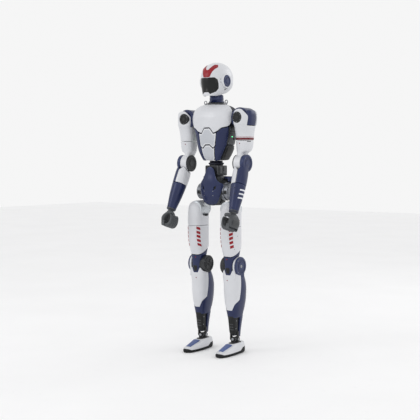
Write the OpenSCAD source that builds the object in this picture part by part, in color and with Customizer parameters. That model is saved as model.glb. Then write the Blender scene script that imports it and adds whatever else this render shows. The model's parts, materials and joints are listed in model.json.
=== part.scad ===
// Full-size humanoid robot, standing, as separate covers, frames and joint units.
// +Z is up, the robot faces -Y and its left side is +X.
// The side parts are drawn once, for the left side, and mirrored for the right one.

/* [Legs] */
// Distance from the middle of the body to each leg's axis
leg_x = 117; // [115:0.5:119]
// Height of the hip pitch axis
hip_z = 955; // [953:1:958]
// Height of the knee axis
knee_z = 520; // [518:1:522]
// Height of the ankle's cross
ankle_z = 84; // [83:0.5:86]
// How far the ankle's cross is behind the knee axis
ankle_y = 20; // [18:1:22]
// Distance along each leg from the pitch axis down to the roll axis
hip_drop = 102; // [100:1:104]
// Height of the seam where the thigh turns
thigh_seam_z = 752; // [748:1:756]
// Radius of the knee motor
knee_r = 51; // [48:0.5:52]

/* [Body] */
// Height of the waist's turning face
waist_z = 1114; // [1112:1:1116]
// Height of the shoulder axes
shoulder_z = 1382; // [1380:1:1384]
// Distance from the middle of the body to the shoulder's roll axis
shoulder_x = 189; // [187:1:191]
// Height of the nodding axis in the head
head_z = 1548; // [1545:1:1551]
// Height of the top of the helmet
top_z = 1710; // [1705:1:1716]

/* [Arms] */
// Distance from the middle of the body to each arm's axis
arm_x = 200; // [199:0.5:202]
// Height of the seam where the upper arm turns
arm_seam_z = 1250; // [1246:1:1254]
// Height of the elbow axis
elbow_z = 1120; // [1118:1:1122]
// How far the elbow axis is in front of the shoulder axis
elbow_y = 30; // [28:1:32]
// Forward tilt of the forearm
forearm_tilt = 24.5; // [23:0.5:26]
// Outward tilt of the forearm
forearm_splay = 4.5; // [3:0.5:5]
// Distance from the elbow axis to the wrist pin
forearm_len = 300; // [298:1:304]
// Forward tilt of the hand
hand_tilt = 16; // [14:0.5:18]

/* [Fits] */
// Gap between faces that move past each other
gap = 1; // [0.8:0.1:1.2]
// Radial clearance of each joint pin
pin_fit = 0.05; // [0.02:0.01:0.1]

/* [Hidden] */
$fn = 64;

white = "whitesmoke";
navy = "midnightblue";
charcoal = "dimgray";
black = "black";

// How far the knee axis stands behind the middle of the whole part
stance_y = 61.7;
hip_y = -5;
roll_x = leg_x - 6;
roll_z = hip_z - hip_drop;
thigh_y = -25;
arm_y = -6;
waist_y = -6;
hip_motor_r = 45;
hip_rim_r = 53.2;
hip_disc_r = 48;
roll_motor_r = 58;
yoke_gap_y = 51;
cap_z = 1336;
elbow_r = 50;
head_y = 0;

// ---------------------------------------------------------------- helpers

// A rounded section: a superellipse between y = front and y = back.
function section(z, x, front, back, half_w, n, sides) = [
  for (i = [0:sides - 1]) let (a = 360 * i / sides, c = cos(a), s = sin(a)) [
    x + half_w * sign(c) * pow(abs(c), 2 / n),
    (front + back) / 2 + (back - front) / 2 * sign(s) * pow(abs(s), 2 / n),
    z
  ]
];

// A solid through sections given as [z, x, front, back, half_w, n], from the lowest up.
module loft(rings, sides = 24) {
  count = len(rings);
  points = [for (r = rings) each section(r[0], r[1], r[2], r[3], r[4], r[5], sides)];
  side_faces = [
    for (k = [0:count - 2], i = [0:sides - 1])
      let (j = (i + 1) % sides, a = k * sides + i, b = k * sides + j, c = a + sides, d = b + sides)
        each [[a, c, b], [b, c, d]]
  ];
  bottom = [for (i = [0:sides - 1]) i];
  top = [for (i = [0:sides - 1]) count * sides - 1 - i];
  polyhedron(points, concat(side_faces, [bottom, top]), convexity = 6);
}

// A cylinder along X from x0 to x1, around the axis at (y, z).
module bar_x(r, x0, x1, y, z) {
  translate([x0, y, z]) rotate([0, 90, 0]) cylinder(r = r, h = x1 - x0);
}

// A cylinder along Y from y0 to y1, around the axis at (x, z).
module bar_y(r, y0, y1, x, z) {
  translate([x, y1, z]) rotate([90, 0, 0]) cylinder(r = r, h = y1 - y0);
}

// A cylinder along Z from z0 to z1.
module bar_z(r, z0, z1, x, y) {
  translate([x, y, z0]) cylinder(r = r, h = z1 - z0);
}

// A block between two corners.
module block(low, high) {
  translate(low) cube(high - low);
}

// A front-view outline, given as [x, z] points, extruded from y0 back to y1.
module front_cut(outline, y0, y1) {
  translate([0, y1, 0]) rotate([90, 0, 0]) linear_extrude(y1 - y0) polygon(outline);
}

// A side-view outline, given as [y, z] points, extruded from x0 to x1.
module side_cut(outline, x0, x1) {
  translate([x0, 0, 0]) rotate([90, 0, 90]) linear_extrude(x1 - x0) polygon(outline);
}

// A half outline on the +X side, completed by its mirror image.
function both_sides(half) = concat(half, [for (i = [len(half) - 1:-1:0]) [-half[i][0], half[i][1]]]);

// Moves the design from the leg axis to the part's own origin, and mirrors it for the right side.
module placed(side = 1) {
  translate([0, stance_y, 0]) mirror([side < 0 ? 1 : 0, 0, 0]) children();
}

// ---------------------------------------------------------------- pelvis and waist

// Rims that stand out sideways around each hip disc
module hip_rims(x0) {
  x1 = 84;
  for (side = [-1, 1]) difference() {
    bar_x(hip_rim_r, side > 0 ? x0 : -x1, side > 0 ? x1 : -x0, hip_y, hip_z);
    bar_x(hip_disc_r + gap, side > 0 ? 76.5 : -x1 - 1, side > 0 ? x1 + 1 : -76.5, hip_y, hip_z);
  }
}

// The front upper quarter of the rims belongs to the apron
module wing_region() {
  block([-90, -80, 957], [90, -7, 1020]);
}

module pelvis_frame() {
  half_w = 58;
  axle_r = 20;
  placed() color(charcoal) {
    difference() {
      union() {
        loft([[903, 0, -44, 40, 46, 3.5], [922, 0, -50, 50, half_w, 4], [1035, 0, -52, 50, half_w, 4],
              [1046, 0, -50, 46, 52, 4]], 28);
        bar_x(hip_disc_r, -76, 76, hip_y, hip_z);
        bar_x(axle_r, -104, 104, hip_y, hip_z);
        difference() {
          hip_rims(71);
          wing_region();
        }
      }
      bar_z(30, 1000, 1050, 0, waist_y);
    }
  }
}

// The apron in front of the pelvis, with an arched top and a rounded bottom.
module pelvis_front_cover() {
  half = [[0, 1101], [14, 1098], [26, 1086], [33, 1068], [38, 1046], [47, 1022], [60, 1004], [65, 985],
          [65, 958], [57, 926], [46, 902], [34, 886], [16, 878]];
  placed() color(navy) {
    // Wings over the front of the hip units
    difference() {
      intersection() {
        hip_rims(59);
        wing_region();
      }
      bar_x(hip_disc_r + gap, -90, 90, hip_y, hip_z);
      block([-59, -80, 900], [59, 60, 1060]);
    }
    intersection() {
      difference() {
        loft([[876, 0, -52, 50, 60, 3], [905, 0, -74, 50, 64, 3], [950, 0, -88, 50, 70, 3],
              [1000, 0, -88, 50, 70, 3], [1060, 0, -78, 50, 66, 3], [1102, 0, -71, 50, 62, 3]], 28);
        block([-80, -53, 870], [80, 60, 1110]);
        for (side = [-1, 1]) {
          // Slots that look in on the hip units
          translate([side * 50, -90, 982]) rotate([0, side * 20, 0]) cube([13, 60, 17], center = true);
        }
      }
      front_cut(both_sides(half), -100, 0);
    }
  }
}

module pelvis_rear_cover() {
  placed() color(navy) {
    difference() {
      loft([[925, 0, -20, 62, 50, 3], [960, 0, -20, 72, 66, 3], [1006, 0, -20, 76, 104, 3],
            [1036, 0, -16, 74, 106, 3], [1046, 0, -10, 66, 96, 3]], 28);
      block([-59, -60, 900], [59, 51, 1060]);
      for (side = [-1, 1]) block([side * 84 - 26, -60, 900], [side * 84 + 26, 80, 1010]);
      block([-120, -60, 900], [120, -8, 1060]);
    }
  }
}

module waist_unit() {
  placed() color(charcoal) {
    difference() {
      union() {
        loft([[1046, 0, -52, 42, 50, 6], [1060, 0, -53, 41, 47, 6], [1106, 0, -53, 41, 46, 6],
              [waist_z - 1, 0, -48, 36, 41, 4]], 28);
        bar_z(29, 1001, 1050, 0, waist_y);
      }
      bar_z(20 + pin_fit, 1020, 1120, 0, waist_y);
      // Room behind the arched top of the apron
      block([-50, -80, 1040], [50, -52.9, 1104]);
    }
  }
}

// ---------------------------------------------------------------- torso

module torso_form() {
  loft([[1128, 0, -60, 46, 60, 3], [1140, 0, -72, 54, 70, 3], [1170, 0, -88, 66, 84, 3],
        [1200, 0, -95, 74, 97, 3], [1240, 0, -100, 82, 106, 3], [1290, 0, -102, 87, 118, 3],
        [1335, 0, -106, 89, 130, 3], [1380, 0, -107, 88, 138, 3], [1415, 0, -99, 84, 137, 2.8],
        [1440, 0, -86, 76, 124, 2.6], [1458, 0, -70, 62, 98, 2.4], [1466, 0, -58, 50, 76, 2.2]], 36);
}

// Depth of the front covers, measured from the leg axis
cover_y = -56;

module chest_region() {
  half = [[0, 1327], [20, 1327], [43, 1295], [70, 1306], [92, 1324], [140, 1332], [150, 1480], [0, 1480]];
  front_cut(both_sides(half), -130, cover_y);
}

module belly_region() {
  upper = [[0, 1321], [18, 1321], [41, 1289], [60, 1294], [50, 1222], [37, 1210], [17, 1230], [0, 1230]];
  lower = [[0, 1223], [14, 1223], [36, 1202], [44, 1212], [42, 1188], [36, 1150], [26, 1135], [0, 1135]];
  front_cut(both_sides(upper), -130, cover_y);
  front_cut(both_sides(lower), -130, cover_y);
}

module side_region(side) {
  outline = [[-52, 1334], [57, 1334], [57, 1150], [20, 1138], [-46, 1134], [-47, 1214], [-41, 1226], [-41, 1284]];
  side_cut(outline, side > 0 ? 62 : -160, side > 0 ? 160 : -62);
}

module back_region() {
  block([-160, 58, 1100], [160, 130, 1480]);
}

module torso_frame() {
  placed() color(charcoal) {
    difference() {
      union() {
        difference() {
          torso_form();
          block([-160, -130, 1100], [160, cover_y, 1480]);
          back_region();
          for (side = [-1, 1]) side_region(side);
          flank_region();
        }
        // Bosses that carry the shoulders
        for (side = [-1, 1]) {
          bar_x(44, side > 0 ? 110 : -148, side > 0 ? 148 : -110, 0, shoulder_z);
          bar_x(20, side > 0 ? 140 : -176, side > 0 ? 176 : -140, 0, shoulder_z);
        }
        // Turntable on the waist unit
        bar_z(38, waist_z, 1134, 0, waist_y);
        bar_z(20, 1030, 1134, 0, waist_y);
        // Collar at the foot of the neck
        bar_z(52, 1455, 1474, 0, -8);
      }
      bar_z(18 + pin_fit, 1420, 1490, 0, -3);
      eye_stems();
    }
  }
}

module chest_cover() {
  placed() color(white) difference() {
    intersection() {
      torso_form();
      chest_region();
    }
    bar_z(52, 1440, 1480, 0, -8);
  }
}

module belly_plates() {
  placed() color("lightgray") intersection() {
    torso_form();
    belly_region();
  }
}

// The navy flanks run from beside the belly plates round to the side modules.
module flank_region() {
  difference() {
    block([-160, -130, 1128], [160, -30, 1330]);
    block([-30, cover_y, 1100], [30, 0, 1400]);
  }
}

module flank_covers() {
  placed() color(navy) difference() {
    intersection() {
      torso_form();
      flank_region();
    }
    chest_region();
    belly_region();
    for (side = [-1, 1]) side_region(side);
    // The middle stays open behind the plates
    block([-15, -130, 1100], [15, -30, 1400]);
  }
}

module back_cover() {
  placed() color(navy) intersection() {
    torso_form();
    back_region();
  }
}

module side_modules() {
  placed() color(charcoal) intersection() {
    torso_form();
    for (side = [-1, 1]) side_region(side);
  }
}

eye_x = 74;
eye_y = -10;
eye_z = 1479;
eye_r = 9;

// Threaded stems of the eyes, let into the torso
module eye_stems() {
  for (side = [-1, 1]) bar_z(5, eye_z - 30, eye_z - eye_r + 1.5, side * eye_x, eye_y);
}

module lifting_eyes() {
  placed() color(charcoal) {
    for (side = [-1, 1]) translate([side * eye_x, eye_y, eye_z])
      rotate([90, 0, 0]) rotate_extrude() translate([eye_r, 0]) circle(r = 2.6, $fn = 24);
    eye_stems();
  }
}

// ---------------------------------------------------------------- head

module neck_column() {
  placed() color(navy) {
    difference() {
      union() {
        translate([0, -3, 0]) rotate_extrude() polygon([[0, 1475], [48, 1475], [43, 1484], [41, 1496],
          [40, 1518], [30, 1524], [0, 1524]]);
        bar_z(18, 1424, 1476, 0, -3);
        block([-17, -18, 1520], [17, 18, head_z]);
        bar_x(18, -17, 17, head_y, head_z);
      }
      bar_x(8 + pin_fit, -30, 30, head_y, head_z);
    }
  }
}

module head_form() {
  loft([[1503, 0, -106, 0, 30, 2.4], [1516, 0, -111, 40, 48, 2.4], [1532, 0, -110, 84, 62, 2.3],
        [1560, 0, -108, 102, 76, 2.2], [1595, 0, -108, 109, 84, 2.2], [1630, 0, -106, 108, 84, 2.2],
        [1660, 0, -96, 98, 76, 2.2], [1685, 0, -74, 80, 60, 2.1], [1700, 0, -48, 54, 40, 2],
        [top_z, 0, -14, 18, 12, 2]], 32);
}

module visor_region() {
  half = [[0, 1613], [40, 1613], [56, 1600], [60, 1560], [50, 1538], [24, 1524], [12, 1532], [0, 1532]];
  front_cut(both_sides(half), -130, -62);
}

module helmet() {
  placed() color(white) {
    difference() {
      head_form();
      visor_region();
      // The lower edge rises from the chin to the back of the head
      side_cut([[-60, 1490], [-60, 1508], [10, 1529], [50, 1554], [120, 1594], [120, 1490]], -100, 100);
      // Room for the neck, wide enough for it to nod
      bar_z(58, 1480, 1536, 0, -2);
      difference() {
        bar_x(52, -60, 60, head_y, head_z);
        bar_x(8, -60, 60, head_y, head_z);
      }
      for (side = [-1, 1]) bar_x(34.5, side > 0 ? 79 : -100, side > 0 ? 100 : -79, -16, 1598);
    }
  }
}

module visor() {
  placed() color(black) intersection() {
    head_form();
    visor_region();
  }
}

module ear_discs() {
  placed() color(navy) for (side = [-1, 1]) bar_x(34, side > 0 ? 79 : -87, side > 0 ? 87 : -79, -16, 1598);
}

// ---------------------------------------------------------------- arms

module shoulder_housing(side) {
  placed(side) color(navy) {
    difference() {
      union() {
        bar_x(44, 149, 185, 0, shoulder_z);
        bar_y(roll_motor_r, -yoke_gap_y + gap, yoke_gap_y - gap, shoulder_x, shoulder_z);
        // The two round end plates of the roll motor
        bar_y(31, -76, 76, shoulder_x, shoulder_z);
      }
      block([100, -80, 1300], [149, 80, 1460]);
      bar_x(20 + pin_fit, 140, 178, 0, shoulder_z);
    }
  }
}

module arm_form() {
  loft([[arm_seam_z + gap, arm_x, -52, 42, 47, 2.6], [1290, arm_x, -56, 46, 49, 2.7],
        [1330, arm_x, -68, 60, 50, 3], [1350, arm_x, -76, 72, 50, 3.4], [1385, arm_x, -77, 77, 49, 3.6],
        [1432, arm_x, -75, 75, 48, 3.6]], 28);
}

// Front-view outline of the strap around the motor's end plate
module strap_region() {
  half_w = 49;
  union() {
    bar_y(half_w, -90, 90, arm_x, shoulder_z);
    block([arm_x - half_w - 2, -90, 1200], [arm_x + half_w + 2, 90, shoulder_z]);
  }
}

module shoulder_yoke(side) {
  placed(side) color(white) {
    difference() {
      union() {
        intersection() {
          arm_form();
          strap_region();
        }
        bar_z(24, arm_seam_z - 30, arm_seam_z + 30, arm_x, arm_y);
      }
      bar_y(31 + gap, -90, 90, shoulder_x, shoulder_z);
      bar_y(roll_motor_r + gap, -yoke_gap_y, yoke_gap_y, shoulder_x, shoulder_z);
      block([100, -yoke_gap_y, cap_z], [300, yoke_gap_y, 1500]);
    }
  }
}

// The outer cover between the yoke's front and rear straps
module shoulder_cap(side) {
  placed(side) color(navy) {
    difference() {
      intersection() {
        loft([[cap_z, 208, -49, 49, 43, 3.2], [1360, 208, -50, 50, 46, 3.2], [1395, 208, -50, 50, 46.5, 3.2],
              [1418, 208, -49, 49, 43, 3], [1430, 208, -44, 44, 36, 2.8]], 28);
        block([100, -yoke_gap_y, cap_z], [300, yoke_gap_y, 1440]);
      }
      bar_y(roll_motor_r + gap, -90, 90, shoulder_x, shoulder_z);
      block([100, -90, 1300], [228, 90, 1460]);
    }
  }
}

module upper_arm(side) {
  disc_x = 168;
  drum_end = 213;
  placed(side) color(white) {
    difference() {
      union() {
        loft([[elbow_z + 20, 191, -58, -2, 21, 3], [1172, 193, -50, 26, 33, 2.6], [1192, 197, -48, 34, 41, 2.5],
              [1222, arm_x, -51, 40, 46, 2.5], [arm_seam_z, arm_x, -52, 42, 47, 2.6]], 28);
        bar_x(elbow_r, disc_x, drum_end, -elbow_y, elbow_z);
      }
      bar_z(24 + pin_fit, arm_seam_z - 32, arm_seam_z + 10, arm_x, arm_y);
      bar_x(elbow_r + 3, drum_end, 300, -elbow_y, elbow_z);
      bar_x(15 + pin_fit, 186, 230, -elbow_y, elbow_z);
      block([100, -90, 1060], [disc_x, 60, 1170 - 0.5]);
    }
  }
}

module elbow_disc(side) {
  placed(side) color(charcoal) bar_x(elbow_r - 0.5, 161, 168, -elbow_y, elbow_z);
}

// The forearm's own frame: the origin is on the elbow axis and -Z runs down to the wrist.
module on_forearm() {
  translate([arm_x + 1, -elbow_y, elbow_z]) rotate([-forearm_tilt, -forearm_splay, 0]) children();
}

collar_end = -140;

module forearm_form() {
  loft([[collar_end, 0, -43, 43, 42, 2.2], [-110, 0, -45, 45, 42, 2.3], [-75, 0, -46, 44, 40, 2.6],
        [-30, 0, -40, 36, 38, 3]], 28);
}

module forearm_fork(side) {
  placed(side) color(navy) {
    difference() {
      union() {
        bar_x(elbow_r, 214, 238, -elbow_y, elbow_z);
        bar_x(15, 188, 216, -elbow_y, elbow_z);
        on_forearm() intersection() {
          forearm_form();
          block([6, -60, collar_end], [60, 60, 40]);
        }
        on_forearm() bar_z(16, collar_end - 24, collar_end + 20, 0, 0);
      }
      difference() {
        bar_x(elbow_r + 2, 100, 214, -elbow_y, elbow_z);
        bar_x(15, 100, 216, -elbow_y, elbow_z);
      }
    }
  }
}

module forearm_collar(side) {
  placed(side) color(white) difference() {
    on_forearm() difference() {
      intersection() {
        forearm_form();
        block([-60, -60, collar_end], [6, 60, 20]);
      }
      bar_z(16, collar_end - 1, collar_end + 20, 0, 0);
    }
    bar_x(elbow_r + 2, 100, 300, -elbow_y, elbow_z);
  }
}

module forearm_sleeve(side) {
  wrist = -forearm_len;
  placed(side) color(navy) on_forearm() {
    difference() {
      loft([[wrist - 6, 0, -26, 26, 26, 2.1], [wrist + 20, 0, -29, 29, 29, 2.1],
            [wrist + 90, 0, -38, 38, 37, 2.2], [collar_end - gap, 0, -43, 43, 42, 2.2]], 24);
      bar_z(16 + pin_fit, collar_end - 26, collar_end + 1, 0, 0);
      bar_z(22.5, wrist - 10, wrist + 26, 0, 0);
    }
    bar_x(4, -24, 24, 0, wrist);
  }
}

// The hand's own frame: the origin is on the wrist pin, -Z runs to the knuckles and -Y to the thumb side.
module on_hand() {
  on_forearm() translate([0, 0, -forearm_len]) rotate([forearm_tilt - hand_tilt, forearm_splay, 0]) children();
}

// Fist outline in the hand's X and Z, and the round grip hole through it
grip_x = -14;
grip_z = -58;
grip_r = 20;
knuckle_x = 8;
knuckle_z = -98;
knuckle_r = 10;
fist_y = -4;
fist_half = 46;
finger_pitch = 20.25;

// The rounded shape of the whole fist
module hand_form() {
  loft([[-124, -7, -24, 16, 24, 2.2], [-112, -8, -42, 34, 35, 2.3], [-90, -7, -52, 44, 41, 2.4],
        [-60, -7, -55, 47, 41, 2.4], [-34, -4, -47, 39, 34, 2.3], [-23, 0, -25, 22, 24, 2.1],
        [-17, 0, -13, 13, 15, 2]], 28);
}

module palm(side) {
  outline = [[-20, -12], [18, -12], [28, -30], [32, -60], [30, -84], [20, -88], [6, -84], [-12, -80], [-12, -38],
             [-34, -30], [-34, -20]];
  lug_y = fist_y + fist_half;
  placed(side) color(charcoal) difference() {
    on_hand() difference() {
      union() {
        sphere(r = 21);
        bar_z(17, -20, 0, 0, 0);
        intersection() {
          hand_form();
          front_cut(outline, -60, 60);
        }
        // Lugs that hold the knuckle pin
        bar_y(4, fist_y - fist_half, lug_y, knuckle_x, knuckle_z);
        for (y = [fist_y - fist_half, lug_y - 5]) {
          bar_y(knuckle_r, y, y + 5, knuckle_x, knuckle_z);
          front_cut([[knuckle_x - knuckle_r, knuckle_z], [knuckle_x + knuckle_r, knuckle_z], [22, -80], [0, -80]],
                    y, y + 5);
        }
      }
      bar_y(grip_r, -90, 90, grip_x, grip_z);
      difference() {
        bar_y(knuckle_r + gap, fist_y - fist_half + 5, lug_y - 5, knuckle_x, knuckle_z);
        bar_y(4, fist_y - fist_half, lug_y, knuckle_x, knuckle_z);
      }
    }
    on_forearm() bar_x(4 + pin_fit, -30, 30, 0, -forearm_len);
  }
}

module fingers(side) {
  outline = [[knuckle_x, knuckle_z + 6], [knuckle_x + 6, knuckle_z - 8], [knuckle_x, -112], [-14, -118], [-36, -106],
             [-50, -80], [-50, -56], [-44, -42], [-34, -32.5], [-24, -36], [-24, -60], [-14, -82]];
  finger_w = finger_pitch - gap;
  placed(side) color(charcoal) on_hand() {
    for (i = [0:3]) let (y = fist_y - fist_half + 5.5 + i * finger_pitch) {
      difference() {
        union() {
          intersection() {
            hand_form();
            front_cut(outline, y, y + finger_w);
          }
          bar_y(knuckle_r, y, y + finger_w, knuckle_x, knuckle_z);
        }
        bar_y(4 + pin_fit, -60, 60, knuckle_x, knuckle_z);
        bar_y(grip_r, -90, 90, grip_x, grip_z);
      }
    }
  }
}

// ---------------------------------------------------------------- legs

module hip_bracket(side) {
  arm_y0 = 38;
  arm_y1 = 50;
  placed(side) color(charcoal) {
    difference() {
      union() {
        bar_x(hip_disc_r, 77, 114, hip_y, hip_z);
        block([roll_x - 18, arm_y0, roll_z], [roll_x + 18, arm_y1, hip_z]);
        block([roll_x - 18, 0, hip_z - 30], [roll_x + 18, arm_y1, hip_z]);
        bar_y(18, arm_y0, arm_y1, roll_x, roll_z);
        bar_y(15, 10, arm_y1, roll_x, roll_z);
      }
      bar_x(20 + pin_fit, 60, 106, hip_y, hip_z);
    }
  }
}

module hip_motor(side) {
  placed(side) color("lightgray") difference() {
    bar_y(hip_motor_r, -66, 37, roll_x, roll_z);
    bar_y(15 + pin_fit, 8, 60, roll_x, roll_z);
  }
}

module thigh_upper(side) {
  placed(side) color(white) {
    difference() {
      union() {
        loft([[thigh_seam_z + gap, leg_x, -95, 45, 52, 2.5], [790, leg_x, -95, 45, 52, 2.5],
              [830, leg_x, -93, 44, 52, 2.4], [860, leg_x + 2, -88, 42, 50, 2.3],
              [882, leg_x + 4, -76, 36, 42, 2.2], [898, leg_x + 2, -54, 22, 24, 2]], 28);
        bar_z(25, thigh_seam_z - 30, thigh_seam_z + 10, leg_x, thigh_y);
      }
      bar_y(hip_motor_r, -66, 60, roll_x, roll_z);
      block([40, 37, 800], [200, 80, 920]);
      // The top is open on the inner side, over the motor
      block([40, -66, roll_z + 30], [roll_x, 60, 920]);
    }
  }
}

// The slanted lower edge of the thigh's cover, higher at the back
thigh_edge = [[-140, 576], [-58, 576], [0, 610], [80, 650]];

module thigh_form() {
  loft([[560, leg_x, -60, 34, 45, 2.6], [577, leg_x, -61, 36, 46, 2.6], [610, leg_x, -72, 40, 49, 2.5],
        [650, leg_x, -85, 44, 52, 2.5], [700, leg_x, -93, 45, 52, 2.5], [thigh_seam_z, leg_x, -95, 45, 52, 2.5]], 28);
}

module thigh_lower(side) {
  placed(side) color(white) difference() {
    thigh_form();
    side_cut(concat(thigh_edge, [[80, 500], [-140, 500]]), 0, 240);
    bar_z(25 + pin_fit, thigh_seam_z - 32, thigh_seam_z + 10, leg_x, thigh_y);
  }
}

module knee_bracket(side) {
  placed(side) color(navy) difference() {
    intersection() {
      loft([[474, leg_x, -57, 0, 12, 3], [490, leg_x, -58, 4, 19, 3], [512, leg_x, -60, 10, 30, 3],
            [540, leg_x, -61, 14, 31, 3], [577, leg_x, -61, 22, 41, 2.8], [610, leg_x, -66, 30, 46, 2.6],
            [650, leg_x, -80, 40, 50, 2.5]], 28);
      side_cut(concat(thigh_edge, [[80, 440], [-140, 440]]), 0, 240);
    }
    bar_x(knee_r, 0, 300, 0, knee_z);
    bar_x(56 + gap, 149, 300, 0, knee_z);
  }
}

module knee_motor(side) {
  placed(side) color(charcoal) {
    difference() {
      bar_x(knee_r, 59, 148, 0, knee_z);
      bar_x(18 + pin_fit, 120, 200, 0, knee_z);
      // Raised ribs on the inner face are left between shallow round pockets
      for (a = [40, 220]) bar_x(9, 50, 62, 26 * cos(a), knee_z + 26 * sin(a));
    }
  }
}

module shin_form() {
  loft([[95, leg_x, -12, 56, 25, 2.8], [137, leg_x, -18, 62, 27, 2.8], [200, leg_x, -29, 73, 34, 2.7],
        [229, leg_x, -35, 80, 37, 2.6], [260, leg_x, -42, 88, 42, 2.6], [300, leg_x, -47, 94, 48, 2.6],
        [330, leg_x, -50, 98, 51, 2.6], [381, leg_x, -53, 100, 54, 2.6], [410, leg_x, -54, 96, 54, 2.6],
        [440, leg_x, -55, 82, 55, 2.7], [468, leg_x, -55, 62, 56, 2.8], [502, leg_x, -54, 40, 57, 3]], 28);
}

// Front-view outline of the white shin cover, from the trapezoid at its foot to the two peaks at the knee
module shin_region() {
  half = [[0, 259], [19, 259], [35, 297], [64, 322], [64, 470], [48, 478], [29, 502], [14, 470], [0, 470]];
  translate([leg_x, 0, 0]) front_cut(both_sides(half), -90, 0);
}

module shin_shell(side) {
  placed(side) color(white) {
    difference() {
      union() {
        intersection() {
          shin_form();
          shin_region();
        }
        bar_x(56, 150, 161, 0, knee_z);
        bar_x(18, 124, 161, 0, knee_z);
        block([150, -52, 440], [161, 0, knee_z]);
      }
      difference() {
        bar_x(knee_r + 2, 0, 149, 0, knee_z);
        bar_x(18, 100, 161, 0, knee_z);
      }
      // Behind the knee bracket's tip
      block([leg_x - 21, -90, 471], [leg_x + 21, -20, 520]);
    }
  }
}

module calf_shell(side) {
  placed(side) color(navy) difference() {
    union() {
      intersection() {
        shin_form();
        block([0, 0, 100], [240, 120, 470]);
      }
      intersection() {
        shin_form();
        block([0, -90, 214], [240, 0, 330]);
      }
      bar_x(55, 161, 174, 0, knee_z);
      block([161, 0, 455], [171, 40, knee_z]);
    }
    shin_region();
    bar_x(knee_r + 3, 0, 149, 0, knee_z);
    bar_x(57, 149, 161, 0, knee_z);
    block([0, -90, 60], [240, 22, 214]);
    bar_x(30, 0, 240, ankle_y, ankle_z);
  }
}

module ankle_strut(side) {
  ear_r = 13;
  placed(side) color(black) {
    difference() {
      union() {
        intersection() {
          shin_form();
          block([leg_x - 23, -90, 112], [leg_x + 23, 22, 214]);
        }
        for (x = [leg_x - 28, leg_x + 19]) {
          bar_x(ear_r, x, x + 9, ankle_y, ankle_z);
          block([x, ankle_y - ear_r, ankle_z], [x + 9, ankle_y + 2, 130]);
        }
      }
      bar_x(8 + pin_fit, 0, 240, ankle_y, ankle_z);
    }
  }
}

module ankle_cross(side) {
  placed(side) color(charcoal) {
    bar_x(8, leg_x - 28, leg_x + 28, ankle_y, ankle_z);
    bar_y(8, ankle_y - 26, ankle_y + 26, leg_x, ankle_z);
    block([leg_x - 12, ankle_y - 12, ankle_z - 10], [leg_x + 12, ankle_y + 12, ankle_z + 10]);
  }
}

module foot_form() {
  loft([[0, leg_x, -148, 96, 38, 2.5], [5, leg_x, -156, 102, 43, 2.5], [16, leg_x, -158, 104, 45, 2.5],
        [25, leg_x, -154, 104, 44, 2.5], [33, leg_x, -130, 103, 43, 2.5], [46, leg_x, -84, 101, 39, 2.5],
        [58, leg_x, -42, 96, 34, 2.6], [63, leg_x, -34, 90, 31, 2.6]], 36);
}

// The sole's side view: a thin middle, a toe cap and a heel block
module sole_region() {
  side_cut([[-170, -1], [-170, 25], [-148, 22], [-134, 14], [22, 16], [46, 31], [120, 33], [120, -1]], 0, 240);
}

module foot_shell(side) {
  ear_r = 12;
  placed(side) color(white) {
    difference() {
      union() {
        difference() {
          foot_form();
          sole_region();
        }
        for (y = [ankle_y - 25, ankle_y + 16]) {
          bar_y(ear_r, y, y + 9, leg_x, ankle_z);
          block([leg_x - ear_r, y, 55], [leg_x + ear_r, y + 9, ankle_z]);
        }
      }
      bar_y(8 + pin_fit, -60, 90, leg_x, ankle_z);
    }
  }
}

module foot_sole(side) {
  placed(side) color(black) intersection() {
    foot_form();
    sole_region();
  }
}

// ---------------------------------------------------------------- nodes

pelvis_frame();
pelvis_front_cover();
pelvis_rear_cover();
waist_unit();
torso_frame();
chest_cover();
belly_plates();
flank_covers();
back_cover();
side_modules();
lifting_eyes();
neck_column();
helmet();
visor();
ear_discs();
shoulder_housing(1);  // left_shoulder_housing
shoulder_yoke(1);  // left_shoulder_yoke
shoulder_cap(1);  // left_shoulder_cap
upper_arm(1);  // left_upper_arm
elbow_disc(1);  // left_elbow_disc
forearm_fork(1);  // left_forearm_fork
forearm_collar(1);  // left_forearm_collar
forearm_sleeve(1);  // left_forearm_sleeve
palm(1);  // left_palm
fingers(1);  // left_fingers
shoulder_housing(-1);  // right_shoulder_housing
shoulder_yoke(-1);  // right_shoulder_yoke
shoulder_cap(-1);  // right_shoulder_cap
upper_arm(-1);  // right_upper_arm
elbow_disc(-1);  // right_elbow_disc
forearm_fork(-1);  // right_forearm_fork
forearm_collar(-1);  // right_forearm_collar
forearm_sleeve(-1);  // right_forearm_sleeve
palm(-1);  // right_palm
fingers(-1);  // right_fingers
hip_bracket(1);  // left_hip_bracket
hip_motor(1);  // left_hip_motor
thigh_upper(1);  // left_thigh_upper
thigh_lower(1);  // left_thigh_lower
knee_bracket(1);  // left_knee_bracket
knee_motor(1);  // left_knee_motor
shin_shell(1);  // left_shin_shell
calf_shell(1);  // left_calf_shell
ankle_strut(1);  // left_ankle_strut
ankle_cross(1);  // left_ankle_cross
foot_shell(1);  // left_foot_shell
foot_sole(1);  // left_foot_sole
hip_bracket(-1);  // right_hip_bracket
hip_motor(-1);  // right_hip_motor
thigh_upper(-1);  // right_thigh_upper
thigh_lower(-1);  // right_thigh_lower
knee_bracket(-1);  // right_knee_bracket
knee_motor(-1);  // right_knee_motor
shin_shell(-1);  // right_shin_shell
calf_shell(-1);  // right_calf_shell
ankle_strut(-1);  // right_ankle_strut
ankle_cross(-1);  // right_ankle_cross
foot_shell(-1);  // right_foot_shell
foot_sole(-1);  // right_foot_sole
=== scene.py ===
import json
import math

import bpy
import bmesh
import numpy as np
from mathutils import Matrix, Vector
from mathutils.geometry import delaunay_2d_cdt


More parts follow.
